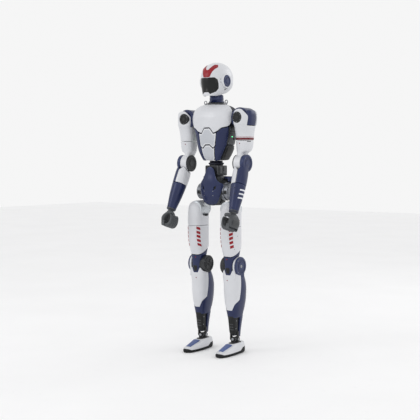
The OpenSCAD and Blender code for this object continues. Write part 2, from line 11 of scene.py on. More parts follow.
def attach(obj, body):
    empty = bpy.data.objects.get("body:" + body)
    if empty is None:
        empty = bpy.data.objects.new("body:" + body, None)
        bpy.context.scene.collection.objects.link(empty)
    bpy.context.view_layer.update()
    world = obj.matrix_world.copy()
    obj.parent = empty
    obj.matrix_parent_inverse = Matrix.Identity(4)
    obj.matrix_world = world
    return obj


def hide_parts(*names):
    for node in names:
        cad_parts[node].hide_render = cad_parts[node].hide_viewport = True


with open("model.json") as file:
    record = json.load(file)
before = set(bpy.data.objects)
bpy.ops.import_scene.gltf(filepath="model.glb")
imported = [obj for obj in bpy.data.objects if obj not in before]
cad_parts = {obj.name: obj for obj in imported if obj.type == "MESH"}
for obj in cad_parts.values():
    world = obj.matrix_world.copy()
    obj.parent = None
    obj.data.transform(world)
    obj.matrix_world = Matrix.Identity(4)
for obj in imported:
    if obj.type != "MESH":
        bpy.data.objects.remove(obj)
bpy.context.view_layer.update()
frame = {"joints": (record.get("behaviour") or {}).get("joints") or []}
joints = {j["name"]: np.array(j["pos_m"]) * 1000 for j in frame["joints"]}
STANCE = joints["left_knee"][1]


def spot(joint):
    """A joint's place in the design frame, in millimetres."""
    return joints[joint] - (0, STANCE, 0)


KNEE = spot("left_knee")
HIP = spot("left_hip_pitch")
ROLL = spot("left_hip_roll")
ANKLE = spot("left_ankle_pitch")
SHOULDER = spot("left_shoulder_roll")
ELBOW = spot("left_elbow")
ELBOW[0] += 1
WRIST = spot("left_wrist")
LEG_X = KNEE[0]
ARM_X = 200.0

# ------------------------------------------------------------------ surfaces


def pchip(xs, ys, x):
    """Smooth interpolation that doesn't overshoot; ys may have several columns."""
    h = np.diff(xs)[:, None]
    d = np.diff(ys, axis=0) / h
    m = np.zeros_like(ys)
    m[0], m[-1] = d[0], d[-1]
    for k in range(1, len(xs) - 1):
        same = d[k - 1] * d[k] > 0
        w = np.where(same, 2 * d[k - 1] * d[k] / np.where(same, d[k - 1] + d[k], 1), 0)
        m[k] = w
    x = np.clip(x, xs[0], xs[-1])
    i = np.clip(np.searchsorted(xs, x, side="right") - 1, 0, len(xs) - 2)
    t = ((x - xs[i]) / (xs[i + 1] - xs[i]))[:, None]
    hi = (xs[i + 1] - xs[i])[:, None]
    return (
        ys[i] * (2 * t**3 - 3 * t**2 + 1)
        + hi * m[i] * (t**3 - 2 * t**2 + t)
        + ys[i + 1] * (3 * t**2 - 2 * t**3)
        + hi * m[i + 1] * (t**3 - t**2)
    )


class Loft:
    """A smooth surface through superellipse sections [z, x, front, back, half_w, n], lowest first.
    Its parameters are u, the angle from the front (-Y) times R, and v, the length up the side."""

    def __init__(self, rings):
        r = np.array(rings, float)
        size = (r[:, 4] + (r[:, 3] - r[:, 2]) / 2) / 2
        self.v = np.r_[0, np.cumsum(np.hypot(np.diff(r[:, 0]), np.diff(size)))]
        self.r = r
        self.R = size.max()
        self.fine = np.linspace(0, self.v[-1], 400)
        self.zs = np.maximum.accumulate(pchip(self.v, r, self.fine)[:, 0])

    def v_at(self, z):
        return float(np.interp(z, self.zs, self.fine))

    def raw(self, u, v):
        z, x, f, b, w, n = pchip(self.v, self.r, np.asarray(v, float)).T
        s, c = np.sin(u / self.R), np.cos(u / self.R)
        k = (np.abs(s) ** n + np.abs(c) ** n) ** (-1 / n)
        return np.stack([x + w * s * k, (f + b) / 2 - (b - f) / 2 * c * k, z], 1)

    def points(self, u, v, lift):
        u, v = np.asarray(u, float), np.asarray(v, float)
        e = 0.05
        va, vb = np.clip(v - e, 0, self.v[-1]), np.clip(v + e, 0, self.v[-1])
        nrm = np.cross(self.raw(u + e, v) - self.raw(u - e, v), self.raw(u, vb) - self.raw(u, va))
        nrm /= np.maximum(np.linalg.norm(nrm, axis=1), 1e-9)[:, None]
        return self.raw(u, v) + nrm * np.asarray(lift)[..., None]

    def front(self, x, z):
        """(u, v) of the front point at x and z."""
        v = self.v_at(z)
        _, xc, f, b, w, n = pchip(self.v, self.r, np.array([v]))[0]
        a = np.clip((x - xc) / w, -0.999, 0.999)
        return math.atan2(a, (1 - abs(a) ** n) ** (1 / n)) * self.R, v

    def side(self, y, z, sign=1):
        """(u, v) of the side point at y and z, on the +X side or the -X side."""
        v = self.v_at(z)
        _, xc, f, b, w, n = pchip(self.v, self.r, np.array([v]))[0]
        c = np.clip(((f + b) / 2 - y) / ((b - f) / 2), -0.999, 0.999)
        return math.atan2(sign * (1 - abs(c) ** n) ** (1 / n), c) * self.R, v

    def turn(self, deg):
        return math.radians(deg) * self.R


class Flat:
    """A plane through a point, spanned by two directions; it faces their cross product."""

    def __init__(self, at, e1, e2):
        self.at, self.e1, self.e2 = (np.array(k, float) for k in (at, e1, e2))
        self.n = np.cross(self.e1, self.e2)

    def points(self, u, v, lift):
        u, v = np.asarray(u, float)[:, None], np.asarray(v, float)[:, None]
        return self.at + u * self.e1 + v * self.e2 + np.asarray(lift)[..., None] * self.n


# ------------------------------------------------------------------ outlines


def rounded(points, radius, closed=True, steps=4):
    """The outline with each corner replaced by a short curve."""
    p = [np.array(q, float) for q in points]
    out = []
    for i, q in enumerate(p):
        if not closed and i in (0, len(p) - 1):
            out.append(q)
            continue
        a, b = p[i - 1], p[(i + 1) % len(p)]
        la, lb = np.linalg.norm(a - q), np.linalg.norm(b - q)
        if la < 1e-6 or lb < 1e-6:
            out.append(q)
            continue
        ra, rb = min(radius, la * 0.45), min(radius, lb * 0.45)
        s, e = q + (a - q) / la * ra, q + (b - q) / lb * rb
        for t in np.linspace(0, 1, steps + 1):
            out.append((1 - t) ** 2 * s + 2 * t * (1 - t) * q + t**2 * e)
    return np.array(out)


def resampled(p, step):
    """The closed outline with its long edges divided."""
    out = []
    for a, b in zip(p, np.roll(p, -1, axis=0)):
        n = max(1, int(math.ceil(np.linalg.norm(b - a) / step)))
        out += [a + (b - a) * k / n for k in range(n)]
    return np.array(out)


def inside(p, poly):
    x, y = p[:, 0:1], p[:, 1:2]
    x0, y0 = poly[:, 0], poly[:, 1]
    x1, y1 = np.roll(x0, -1), np.roll(y0, -1)
    dy = np.where(np.abs(y1 - y0) < 1e-12, 1e-12, y1 - y0)
    hit = ((y0 > y) != (y1 > y)) & (x < (x1 - x0) * (y - y0) / dy + x0)
    return hit.sum(1) % 2 == 1


def distance(p, segments):
    """Distance from each point to the nearest of the segments [(a, b), ...]."""
    if not len(segments):
        return np.full(len(p), 1e9)
    a = np.array([s[0] for s in segments])
    d = np.array([s[1] for s in segments]) - a
    best = np.full(len(p), 1e9)
    for k in range(0, len(a), 64):
        w = p[:, None] - a[None, k : k + 64]
        dd = d[None, k : k + 64]
        t = np.clip((w * dd).sum(2) / np.maximum((dd**2).sum(2), 1e-12), 0, 1)
        best = np.minimum(best, np.linalg.norm(w - dd * t[..., None], axis=2).min(1))
    return best


def circle(x, y, r, n=48, a0=0, a1=360):
    t = np.radians(np.linspace(a0, a1, n, endpoint=(a1 - a0) % 360 != 0))
    return np.stack([x + r * np.cos(t), y + r * np.sin(t)], 1)


def box_outline(x0, y0, x1, y1):
    return [(x0, y0), (x1, y0), (x1, y1), (x0, y1)]


# ------------------------------------------------------------------ shapes: (vertices, faces)


def panel(surf, outline, thick=6.0, roll=2.0, lift=0.0, step=6.0, corner=0.0, holes=(), wrap=False, back=0.0):
    """A plate that follows a surface inside an outline of (u, v), with rolled edges.
    wrap welds an outline that runs from -180 to 180 degrees, and its top when that is a point."""
    outline = rounded(outline, corner) if corner else np.array(outline, float)
    outline = resampled(outline, step * 0.8)
    rims = [outline] + [resampled(np.array(h, float), step * 0.6) for h in holes]
    edge_u = surf.R * math.pi - 1e-6 if wrap else None
    segs = []
    for rim in rims:
        for a, b in zip(rim, np.roll(rim, -1, axis=0)):
            if wrap and abs(a[0]) > edge_u and abs(b[0]) > edge_u:
                continue
            if wrap == "top" and min(a[1], b[1]) > surf.v[-1] - 1e-6:
                continue
            segs.append((a, b))
    pts = [np.concatenate(rims)]
    clear = step * 0.45
    if roll:
        for off in (roll * 0.3, roll):
            for rim in rims:
                area = np.sum(rim[:, 0] * np.roll(rim[:, 1], -1) - np.roll(rim[:, 0], -1) * rim[:, 1])
                d = np.roll(rim, -1, axis=0) - np.roll(rim, 1, axis=0)
                d /= np.maximum(np.linalg.norm(d, axis=1), 1e-9)[:, None]
                nrm = np.stack([-d[:, 1], d[:, 0]], 1) * (1 if area > 0 else -1)
                if rim is not rims[0]:
                    nrm = -nrm
                q = rim + nrm * off
                q = q[distance(q, segs) > off * 0.9]
                pts.append(q)
        clear += roll
    lo, hi = outline.min(0), outline.max(0)
    gx, gy = np.meshgrid(np.arange(lo[0], hi[0], step), np.arange(lo[1], hi[1], step * 0.87))
    gx[1::2] += step / 2
    grid = np.stack([gx.ravel(), gy.ravel()], 1)
    all_segs = [(a, b) for rim in rims for a, b in zip(rim, np.roll(rim, -1, axis=0))]
    pts.append(grid[distance(grid, all_segs) > (clear if not wrap else min(clear, step * 0.45))])
    if wrap and roll:
        far = pts[-1]
        pts[-1] = far[distance(far, segs) > clear]
    p = np.concatenate(pts)
    keep = np.ones(len(p), bool)
    n_rim = len(pts[0])
    ok = inside(p[n_rim:], rims[0])
    for h in rims[1:]:
        ok &= ~inside(p[n_rim:], h)
    keep[n_rim:] = ok
    p = p[keep]
    edges, k = [], 0
    for rim in rims:
        edges += [(k + i, k + (i + 1) % len(rim)) for i in range(len(rim))]
        k += len(rim)
    v2, _, f2, _, _, _ = delaunay_2d_cdt([Vector(q) for q in p], edges, [], 0, 1e-4)
    q = np.array([(v.x, v.y) for v in v2])
    tri = np.array([f for f in f2 if len(f) == 3])
    mid = q[tri].mean(1)
    ok = inside(mid, rims[0])
    for h in rims[1:]:
        ok &= ~inside(mid, h)
    tri = tri[ok]
    a, b, c = q[tri[:, 0]], q[tri[:, 1]], q[tri[:, 2]]
    turn = (b[:, 0] - a[:, 0]) * (c[:, 1] - a[:, 1]) - (b[:, 1] - a[:, 1]) * (c[:, 0] - a[:, 0])
    tri[turn < 0] = tri[turn < 0][:, ::-1]
    d = distance(q, segs)
    r = max(roll, 1e-6)
    dip = r - np.sqrt(np.maximum(r**2 - (r - np.minimum(d, r)) ** 2, 0)) if roll else 0 * d
    rb = max(back, 1e-6)
    rise = rb - np.sqrt(np.maximum(rb**2 - (rb - np.minimum(d, rb)) ** 2, 0)) if back else 0 * d
    top = surf.points(q[:, 0], q[:, 1], lift - dip)
    low = surf.points(q[:, 0], q[:, 1], lift - thick + rise)
    n = len(q)
    count = {}
    for t in tri:
        for i in range(3):
            e = (int(t[i]), int(t[(i + 1) % 3]))
            count[e] = count.get(e, 0) + 1
    walls = []
    for i, j in count:
        if (j, i) in count:
            continue
        if wrap and abs(q[i][0]) > edge_u and abs(q[j][0]) > edge_u:
            continue
        if wrap == "top" and min(q[i][1], q[j][1]) > surf.v[-1] - 1e-6:
            continue
        walls.append((j, i, i + n, j + n))
    faces = [tuple(map(int, t)) for t in tri] + [tuple(int(k) + n for k in t[::-1]) for t in tri] + walls
    return np.concatenate([top, low]), faces


def tube(surf, low, high, thick=5.0, roll=2.0, lift=0.0, rows=14, seg=72, solid=False):
    """The surface all the way round between v = low(u) and high(u), as a shell with rolled ends,
    or solid with closed ends."""
    u = np.linspace(-math.pi, math.pi, seg, endpoint=False) * surf.R
    lo = np.array([low(k) for k in u]) if callable(low) else np.full(seg, float(low))
    hi = np.array([high(k) for k in u]) if callable(high) else np.full(seg, float(high))
    ends = [0, roll * 0.3, roll] if roll else [0]
    out, dips = [], []
    for e in ends:
        out.append(lo + e)
        dips.append(roll - math.sqrt(max(roll**2 - (roll - e) ** 2, 0)))
    for t in np.linspace(0, 1, rows + 2)[1:-1]:
        out.append(lo + roll + (hi - lo - 2 * roll) * t)
        dips.append(0)
    for e in ends[::-1]:
        out.append(hi - e)
        dips.append(roll - math.sqrt(max(roll**2 - (roll - e) ** 2, 0)))
    rings = [surf.points(u, v, np.full(seg, lift - d)) for v, d in zip(out, dips)]
    if solid:
        v = np.concatenate(rings + [rings[0].mean(0)[None], rings[-1].mean(0)[None]])
        n, m = len(rings), seg
        f = [(k * m + i, k * m + (i + 1) % m, (k + 1) * m + (i + 1) % m, (k + 1) * m + i) for k in range(n - 1) for i in range(m)]
        f += [((i + 1) % m, i, n * m) for i in range(m)]
        f += [((n - 1) * m + i, (n - 1) * m + (i + 1) % m, n * m + 1) for i in range(m)]
        return v, f
    inner = [surf.points(u, v, np.full(seg, lift - thick)) for v in (out[-1], out[len(out) // 2], out[0])]
    rings += inner
    n, m = len(rings), seg
    v = np.concatenate(rings)
    f = [(k * m + i, k * m + (i + 1) % m, (k + 1) % n * m + (i + 1) % m, (k + 1) % n * m + i) for k in range(n) for i in range(m)]
    return v, f


def turned(profile, axis, at, seg=56, corner=0.0):
    """A shape of revolution: profile holds (distance along the axis, radius)."""
    p = rounded(profile, corner, closed=False, steps=3) if corner else np.array(profile, float)
    ax = {"x": 0, "y": 1, "z": 2}[axis]
    e = np.eye(3)
    ez, e1, e2 = e[ax], e[(ax + 1) % 3], e[(ax + 2) % 3]
    t = np.linspace(0, 2 * math.pi, seg, endpoint=False)
    verts, rows = [], []
    for h, r in p:
        if r < 1e-6:
            rows.append([len(verts)])
            verts.append(ez * h)
        else:
            rows.append(list(range(len(verts), len(verts) + seg)))
            verts += [ez * h + r * (math.cos(k) * e1 + math.sin(k) * e2) for k in t]
    faces = []
    for a, b in zip(rows, rows[1:]):
        for i in range(seg):
            j = (i + 1) % seg
            if len(a) == 1 and len(b) == 1:
                continue
            if len(a) == 1:
                faces.append((a[0], b[j], b[i]))
            elif len(b) == 1:
                faces.append((a[i], a[j], b[0]))
            else:
                faces.append((a[i], a[j], b[j], b[i]))
    at = np.array(at, float)
    for k in range(3):
        if k == ax:
            at[k] = 0 if at[k] is None else at[k]
    return outward((np.array(verts) + at, faces))


def outward(shape):
    v, f = shape
    total = 0.0
    for face in f:
        a = v[face[0]]
        for i in range(1, len(face) - 1):
            total += np.dot(a, np.cross(v[face[i]], v[face[i + 1]]))
    return (v, [tuple(reversed(k)) for k in f]) if total < 0 else (v, f)


def disc(r, x0, x1, y, z, corner=3.0, axis="x", seg=56):
    """A solid round body along an axis with rounded rims."""
    at = {"x": (0, y, z), "y": (y, 0, z), "z": (y, z, 0)}[axis]
    return turned([(x0, 0), (x0, r), (x1, r), (x1, 0)], axis, at, seg, corner)


def plate(face, at, outline, thick, roll=1.5, corner=0.0, holes=(), step=8.0, back=0.0):
    """A flat plate whose visible side faces face ("x+", "x-", "y-", "y+", "z+", "z-") at that coordinate.
    Its outline is (y, z), (x, z) or (x, y)."""
    k = {"x": 0, "y": 1, "z": 2}[face[0]]
    e = np.eye(3)
    spans = {
        "x+": (e[1], e[2], 1), "x-": (-e[1], e[2], -1), "y-": (e[0], e[2], 1), "y+": (-e[0], e[2], -1),
        "z+": (e[0], e[1], 1), "z-": (-e[0], e[1], -1),
    }
    e1, e2, flip = spans[face]
    o = np.array(outline, float) * (flip, 1)
    hs = [np.array(h, float) * (flip, 1) for h in holes]
    return panel(Flat(e[k] * at, e1, e2), o, thick, roll, 0, step, corner, hs, back=back)


def sweep(path, half_t, half_w, seg=18, wide=(0, 1, 0), n=2.4, cap=0.5):
    """A rounded bar along a path; wide is its width direction, half_t and half_w may vary along it."""
    p = np.array(path, float)
    t = np.gradient(p, axis=0)
    t /= np.linalg.norm(t, axis=1)[:, None]
    w = np.array(wide, float)[None] - t * (t @ np.array(wide, float))[:, None]
    w /= np.linalg.norm(w, axis=1)[:, None]
    nn = np.cross(t, w)
    a = np.broadcast_to(half_t, len(p)).astype(float)
    b = np.broadcast_to(half_w, len(p)).astype(float)
    ang = np.linspace(0, 2 * math.pi, seg, endpoint=False)
    c, s = np.cos(ang), np.sin(ang)
    k = (np.abs(c) ** n + np.abs(s) ** n) ** (-1 / n)
    rings = []

    def ring(i, f, push):
        return p[i] + t[i] * push + (nn[i] * a[i])[None] * (c * k * f)[:, None] + (w[i] * b[i])[None] * (s * k * f)[:, None]

    r = min(a[0], b[0]) * cap
    for q in (1.0, 0.7, 0.35, 0.0):
        rings.append(ring(0, 1 - (1 - math.sqrt(1 - q * q)) * cap if q < 1 else 1 - cap, -r * q))
    rings += [ring(i, 1, 0) for i in range(1, len(p) - 1)]
    r = min(a[-1], b[-1]) * cap
    for q in (0.0, 0.35, 0.7, 1.0):
        rings.append(ring(-1, 1 - (1 - math.sqrt(1 - q * q)) * cap if q < 1 else 1 - cap, r * q))
    m = seg
    v = np.concatenate(rings + [rings[0].mean(0)[None], rings[-1].mean(0)[None]])
    f = [(j * m + i, j * m + (i + 1) % m, (j + 1) * m + (i + 1) % m, (j + 1) * m + i) for j in range(len(rings) - 1) for i in range(m)]
    e0, e1 = len(rings) * m, len(rings) * m + 1
    f += [((i + 1) % m, i, e0) for i in range(m)] + [((len(rings) - 1) * m + i, (len(rings) - 1) * m + (i + 1) % m, e1) for i in range(m)]
    return outward((v, f))


def curve(points, steps=6):
    """A smooth path through points."""
    p = np.array(points, float)
    q = np.vstack([2 * p[0] - p[1], p, 2 * p[-1] - p[-2]])
    out = []
    for i in range(1, len(q) - 2):
        for t in np.linspace(0, 1, steps, endpoint=False):
            a, b, c, d = q[i - 1 : i + 3]
            out.append(0.5 * (2 * b + (c - a) * t + (2 * a - 5 * b + 4 * c - d) * t**2 + (3 * b - a - 3 * c + d) * t**3))
    out.append(p[-1])
    return np.array(out)


def rod(path, r, seg=14, smooth=True):
    p = curve(path) if smooth and len(path) > 2 else np.array(path, float)
    t = p[-1] - p[0]
    wide = np.eye(3)[int(np.argmin(np.abs(t)))]
    return sweep(p, r, r, seg, wide, 2.0, 0.4)


def moved(shape, m):
    """The shape in another frame, given as (3x3 turn, place)."""
    return shape[0] @ np.array(m[0]).T + np.array(m[1]), shape[1]


def screws(surf, spots, r=3.0, lift=0.0):
    """Small round screw heads with a sunk middle, set on a surface at (u, v)."""
    out = []
    for u, v in spots:
        o = surf.points([u], [v], np.array([lift]))[0]
        n = surf.points([u], [v], np.array([lift + 1.0]))[0] - o
        m = Vector(n).to_track_quat("Z", "Y").to_matrix()
        prof = [(-2, r), (0.5, r), (1.0, r * 0.85), (1.0, r * 0.5), (0.0, r * 0.42), (0.0, 0)]
        out.append(moved(turned([(-2, 0)] + prof, "z", (0, 0, 0), 18), (np.array(m), o)))
    return out


# ------------------------------------------------------------------ materials


def material(name, color, rough=0.4, metal=0.0, coat=0.0, vary=0.06, wear=0.25, bump=0.02, scale=9.0, grain=900.0,
             wear_color=None, spread=0.08, sheen=0.0):
    """A painted, moulded or metal finish with soft colour variation, fine bump, uneven gloss and edge wear."""
    m = bpy.data.materials.new(name)
    m.use_nodes = True
    t = m.node_tree
    n, ln = t.nodes, t.links
    p = n["Principled BSDF"]
    p.inputs["Metallic"].default_value = metal
    p.inputs["Coat Weight"].default_value = coat
    p.inputs["Coat Roughness"].default_value = 0.12
    p.inputs["Sheen Weight"].default_value = sheen
    tc = n.new("ShaderNodeTexCoord")

    def noise(s, detail, rough_=0.55):
        k = n.new("ShaderNodeTexNoise")
        k.inputs["Scale"].default_value = s
        k.inputs["Detail"].default_value = detail
        k.inputs["Roughness"].default_value = rough_
        ln.new(tc.outputs["Object"], k.inputs["Vector"])
        return k.outputs["Fac"]

    def ranged(value, a, b, c, d):
        k = n.new("ShaderNodeMapRange")
        for key, val in (("From Min", a), ("From Max", b), ("To Min", c), ("To Max", d)):
            k.inputs[key].default_value = val
        ln.new(value, k.inputs["Value"])
        return k.outputs["Result"]

    def mix(fac, a, b):
        k = n.new("ShaderNodeMix")
        k.data_type = "RGBA"
        for key, val in (("A", a), ("B", b)):
            s = [q for q in k.inputs if q.name == key and q.type == "RGBA"][0]
            if isinstance(val, tuple):
                s.default_value = (*val, 1)
            else:
                ln.new(val, s)
        ln.new(fac, [q for q in k.inputs if q.name == "Factor" and q.type == "VALUE"][0])
        return [q for q in k.outputs if q.type == "RGBA"][0]

    dark = tuple(c * (1 - vary) for c in color)
    light = tuple(min(1.0, c * (1 + vary * 0.8) + 0.002) for c in color)
    base = mix(ranged(noise(scale, 5), 0.35, 0.65, 0, 1), dark, light)
    speck = ranged(noise(scale * 14, 3, 0.7), 0.62, 0.75, 0, 0.35)
    base = mix(speck, base, tuple(c * 0.88 for c in color))
    geo = n.new("ShaderNodeNewGeometry")
    worn = wear_color or tuple(min(1, c * 1.5 + 0.06) for c in color)
    edge = ranged(geo.outputs["Pointiness"], 0.515, 0.56, 0, wear)
    patch = n.new("ShaderNodeMath")
    patch.operation = "MULTIPLY"
    ln.new(edge, patch.inputs[0])
    ln.new(ranged(noise(scale * 5, 4, 0.65), 0.4, 0.6, 0.25, 1), patch.inputs[1])
    base = mix(patch.outputs[0], base, worn)
    ln.new(base, p.inputs["Base Color"])
    ln.new(ranged(noise(scale * 3, 4), 0.3, 0.7, rough - spread, rough + spread), p.inputs["Roughness"])
    b = n.new("ShaderNodeBump")
    b.inputs["Strength"].default_value = bump
    b.inputs["Distance"].default_value = 0.001
    ln.new(noise(grain, 3), b.inputs["Height"])
    ln.new(b.outputs["Normal"], p.inputs["Normal"])
    return m


WHITE = material("white_paint", (0.64, 0.65, 0.68), 0.34, coat=0.15, vary=0.025, wear=0.10, bump=0.03,
                 wear_color=(0.93, 0.93, 0.94), spread=0.05)
# White rim of the belly plates, painted lighter than white_paint: the extra lightness is a painted highlight along the
# bevels.
RIM_WITH_PAINTED_HIGHLIGHT = material("white_rim", (0.70, 0.71, 0.74), 0.32, coat=0.15, vary=0.02, wear=0.1, wear_color=(0.95, 0.95, 0.96))
GREY = material("grey_paint", (0.50, 0.52, 0.56), 0.36, metal=0.15, coat=0.2, vary=0.04, wear=0.2)
SILVER = material("light_housing", (0.52, 0.55, 0.58), 0.34, metal=0.35, coat=0.1, vary=0.05, wear=0.25)
NAVY = material("navy_paint", (0.014, 0.022, 0.078), 0.34, metal=0.25, coat=0.12, vary=0.08, wear=0.28, bump=0.02,
                wear_color=(0.07, 0.10, 0.22), spread=0.06)
DEEP = material("deep_navy", (0.005, 0.007, 0.018), 0.42, metal=0.1, coat=0.0, vary=0.1, wear=0.3)
CHARCOAL = material("charcoal_cover", (0.020, 0.022, 0.025), 0.42, metal=0.2, vary=0.12, wear=0.35, bump=0.06)
GUNMETAL = material("gunmetal", (0.055, 0.058, 0.062), 0.36, metal=0.5, vary=0.1, wear=0.4, bump=0.05)
HIP_GREY = material("hip_grey", (0.20, 0.21, 0.235), 0.32, metal=0.5, coat=0.1, vary=0.08, wear=0.35)
RUBBER = material("hand_moulding", (0.062, 0.067, 0.074), 0.50, metal=0.15, vary=0.12, wear=0.35, bump=0.12,
                  grain=500, wear_color=(0.15, 0.16, 0.17))
GLASS = material("visor_black", (0.006, 0.0065, 0.007), 0.2, coat=0.0, vary=0.2, wear=0.05, bump=0.0, spread=0.03)
BLACK = material("black_plastic", (0.014, 0.015, 0.016), 0.40, vary=0.15, wear=0.3, bump=0.08)
STEEL = material("dark_steel", (0.28, 0.29, 0.31), 0.30, metal=0.95, vary=0.1, wear=0.4, bump=0.06, grain=300)
SOLE = material("sole_rubber", (0.012, 0.013, 0.014), 0.68, vary=0.2, wear=0.35, bump=0.35, grain=260)
RED = material("red_trim", (0.27, 0.004, 0.012), 0.34, coat=0.1, vary=0.12, wear=0.1)
RED_DARK = material("dark_red_trim", (0.12, 0.003, 0.008), 0.34, coat=0.1, vary=0.12, wear=0.1)
TONGUE = material("tongue_textile", (0.035, 0.075, 0.24), 0.6, vary=0.15, wear=0.3, bump=0.5, grain=420, sheen=0.3)
STRIPE = material("pale_stripe", (0.72, 0.74, 0.78), 0.35, coat=0.3, vary=0.03, wear=0.1)

for m, level in ((NAVY, 0.4), (DEEP, 0.2), (CHARCOAL, 0.35), (GLASS, 0.3), (BLACK, 0.25), (SOLE, 0.2), (RED, 0.3),
                 (RED_DARK, 0.3)):
    m.node_tree.nodes["Principled BSDF"].inputs["Specular IOR Level"].default_value = level

led = material("green_light", (0.05, 0.7, 0.25), 0.3, vary=0.02, wear=0.0, bump=0.0)
led.node_tree.nodes["Principled BSDF"].inputs["Emission Color"].default_value = (0.1, 1.0, 0.35, 1)
led.node_tree.nodes["Principled BSDF"].inputs["Emission Strength"].default_value = 1.5

# ------------------------------------------------------------------ pieces


def piece(name, body, mat, shapes, nodes=(), side=1, crease=34.0, weld=0.0):
    """One object from shapes in the design frame, riding on a body and standing for CAD nodes."""
    verts, faces, k = [], [], 0
    for v, f in shapes:
        verts.append(v)
        faces += [tuple(i + k for i in face) for face in f]
        k += len(v)
    v = np.concatenate(verts) + (0, STANCE, 0)
    v = v * (side, 1, 1) / 1000
    if side < 0:
        faces = [f[::-1] for f in faces]
    me = bpy.data.meshes.new(name)
    me.from_pydata(v.tolist(), [], faces)
    bm = bmesh.new()
    bm.from_mesh(me)
    bmesh.ops.remove_doubles(bm, verts=bm.verts, dist=max(weld, 0.01) / 1000)
    bmesh.ops.dissolve_degenerate(bm, edges=bm.edges, dist=1e-6)
    limit = math.radians(crease)
    for f in bm.faces:
        f.smooth = True
    for e in bm.edges:
        if len(e.link_faces) == 2 and e.calc_face_angle(0) > limit:
            e.smooth = False
    bm.to_mesh(me)
    bm.free()
    me.materials.append(mat)
    o = bpy.data.objects.new(name, me)
    bpy.context.scene.collection.objects.link(o)
    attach(o, body)
    if nodes:
        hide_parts(*nodes)
    return o


def pair(name, body, mat, shapes, nodes=(), **kw):
    """The same piece on the left and, mirrored, on the right."""
    for side, tag in ((1, "left_"), (-1, "right_")):
        piece(tag + name, tag + body, mat, shapes, [tag + k for k in nodes], side, **kw)


def mirrored(points):
    """A half outline on the +X side, completed on the -X side."""
    return list(points) + [(-a, b) for a, b in points[::-1] if abs(a) > 1e-6]


def faced(rings, way):
    """The same surface with its u = 0 line turned to face +X, -X or +Y, and the turn that puts it back."""
    if way == "x+":
        r = [[z, (f + b) / 2, -(x + w), -(x - w), (b - f) / 2, n] for z, x, f, b, w, n in rings]
        m = [[0, -1, 0], [1, 0, 0], [0, 0, 1]]
    elif way == "x-":
        r = [[z, -(f + b) / 2, x - w, x + w, (b - f) / 2, n] for z, x, f, b, w, n in rings]
        m = [[0, 1, 0], [-1, 0, 0], [0, 0, 1]]
    else:
        r = [[z, -x, -b, -f, w, n] for z, x, f, b, w, n in rings]
        m = [[-1, 0, 0], [0, -1, 0], [0, 0, 1]]
    return Loft(r), (m, (0, 0, 0))


def inset(points, d):
    """The outline moved inwards by d."""
    p = np.array(points, float)
    area = np.sum(p[:, 0] * np.roll(p[:, 1], -1) - np.roll(p[:, 0], -1) * p[:, 1])
    e = np.roll(p, -1, axis=0) - p
    e /= np.linalg.norm(e, axis=1)[:, None]
    n = np.stack([-e[:, 1], e[:, 0]], 1) * (1 if area > 0 else -1)
    a, b = n, np.roll(n, 1, axis=0)
    k = (a + b) / np.maximum(1 + (a * b).sum(1), 0.4)[:, None]
    return p + k * d


def torus(radius, r, at, axis="y", seg=40, sides=14):
    t = np.linspace(0, 2 * math.pi, sides, endpoint=False)
    return turned([(r * math.sin(k), radius + r * math.cos(k)) for k in list(t) + [0.0]], axis, at, seg)


def bolts(axis, at, radius, r, face, count, start=0.0, sign=1):
    """A ring of small bolt heads around an axis; face is their coordinate along it."""
    out = []
    for k in range(count):
        a = math.radians(start + 360 * k / count)
        c, s = radius * math.cos(a), radius * math.sin(a)
        prof = [(-2 * sign, 0), (-2 * sign, r), (0.9 * sign, r), (1.4 * sign, r * 0.8), (1.4 * sign, r * 0.5),
                (0.3 * sign, r * 0.45), (0.3 * sign, 0)]
        if axis == "x":
            out.append(turned(prof, "x", (face, at[0] + c, at[1] + s), 16))
        else:
            out.append(turned(prof, "y", (at[0] + c, face, at[1] + s), 16))
    return out


def block(low, high, roll=2.0, corner=3.0):
    """A box with softened edges."""
    (x0, y0, z0), (x1, y1, z1) = low, high
    return plate("y-", y0, box_outline(x0, z0, x1, z1), y1 - y0, roll, corner, back=roll)


# ------------------------------------------------------------------ torso

TORSO_RINGS = [
    [1128, 0, -60, 46, 60, 3], [1140, 0, -72, 54, 70, 3], [1170, 0, -88, 66, 84, 3], [1200, 0, -95, 74, 97, 3],
    [1240, 0, -100, 82, 106, 3], [1290, 0, -102, 87, 118, 3], [1335, 0, -106, 89, 130, 3],
    [1380, 0, -107, 88, 138, 3], [1415, 0, -99, 84, 137, 2.8], [1440, 0, -86, 76, 124, 2.6],
    [1458, 0, -70, 62, 98, 2.4], [1466, 0, -58, 50, 76, 2.2],
]
TORSO = Loft(TORSO_RINGS)
F, S = TORSO.front, TORSO.side

core = [tube(TORSO, TORSO.v_at(1133), TORSO.v[-1], lift=-6.5, rows=24, solid=True, roll=3)]
core.append(turned([(1112, 0), (1112, 40), (1117, 46), (1122, 46), (1126, 38), (1136, 38), (1136, 0)], "z", (0, -6, 0)))
piece("torso_core", "torso", DEEP, core, ["torso_frame"])
piece("neck_collar", "torso", GUNMETAL, [
    turned([(1455, 38), (1455, 53), (1470, 53), (1474, 49), (1474, 38), (1455, 38)], "z", (0, -8, 0), corner=1.0)])
for side, tag in ((1, "left_"), (-1, "right_")):
    piece(tag + "shoulder_boss", "torso", DEEP, [
        turned([(100, 0), (100, 50), (138, 46), (142, 44), (148, 44), (148, 0)], "x", (0, 0, SHOULDER[2]))], side=side)

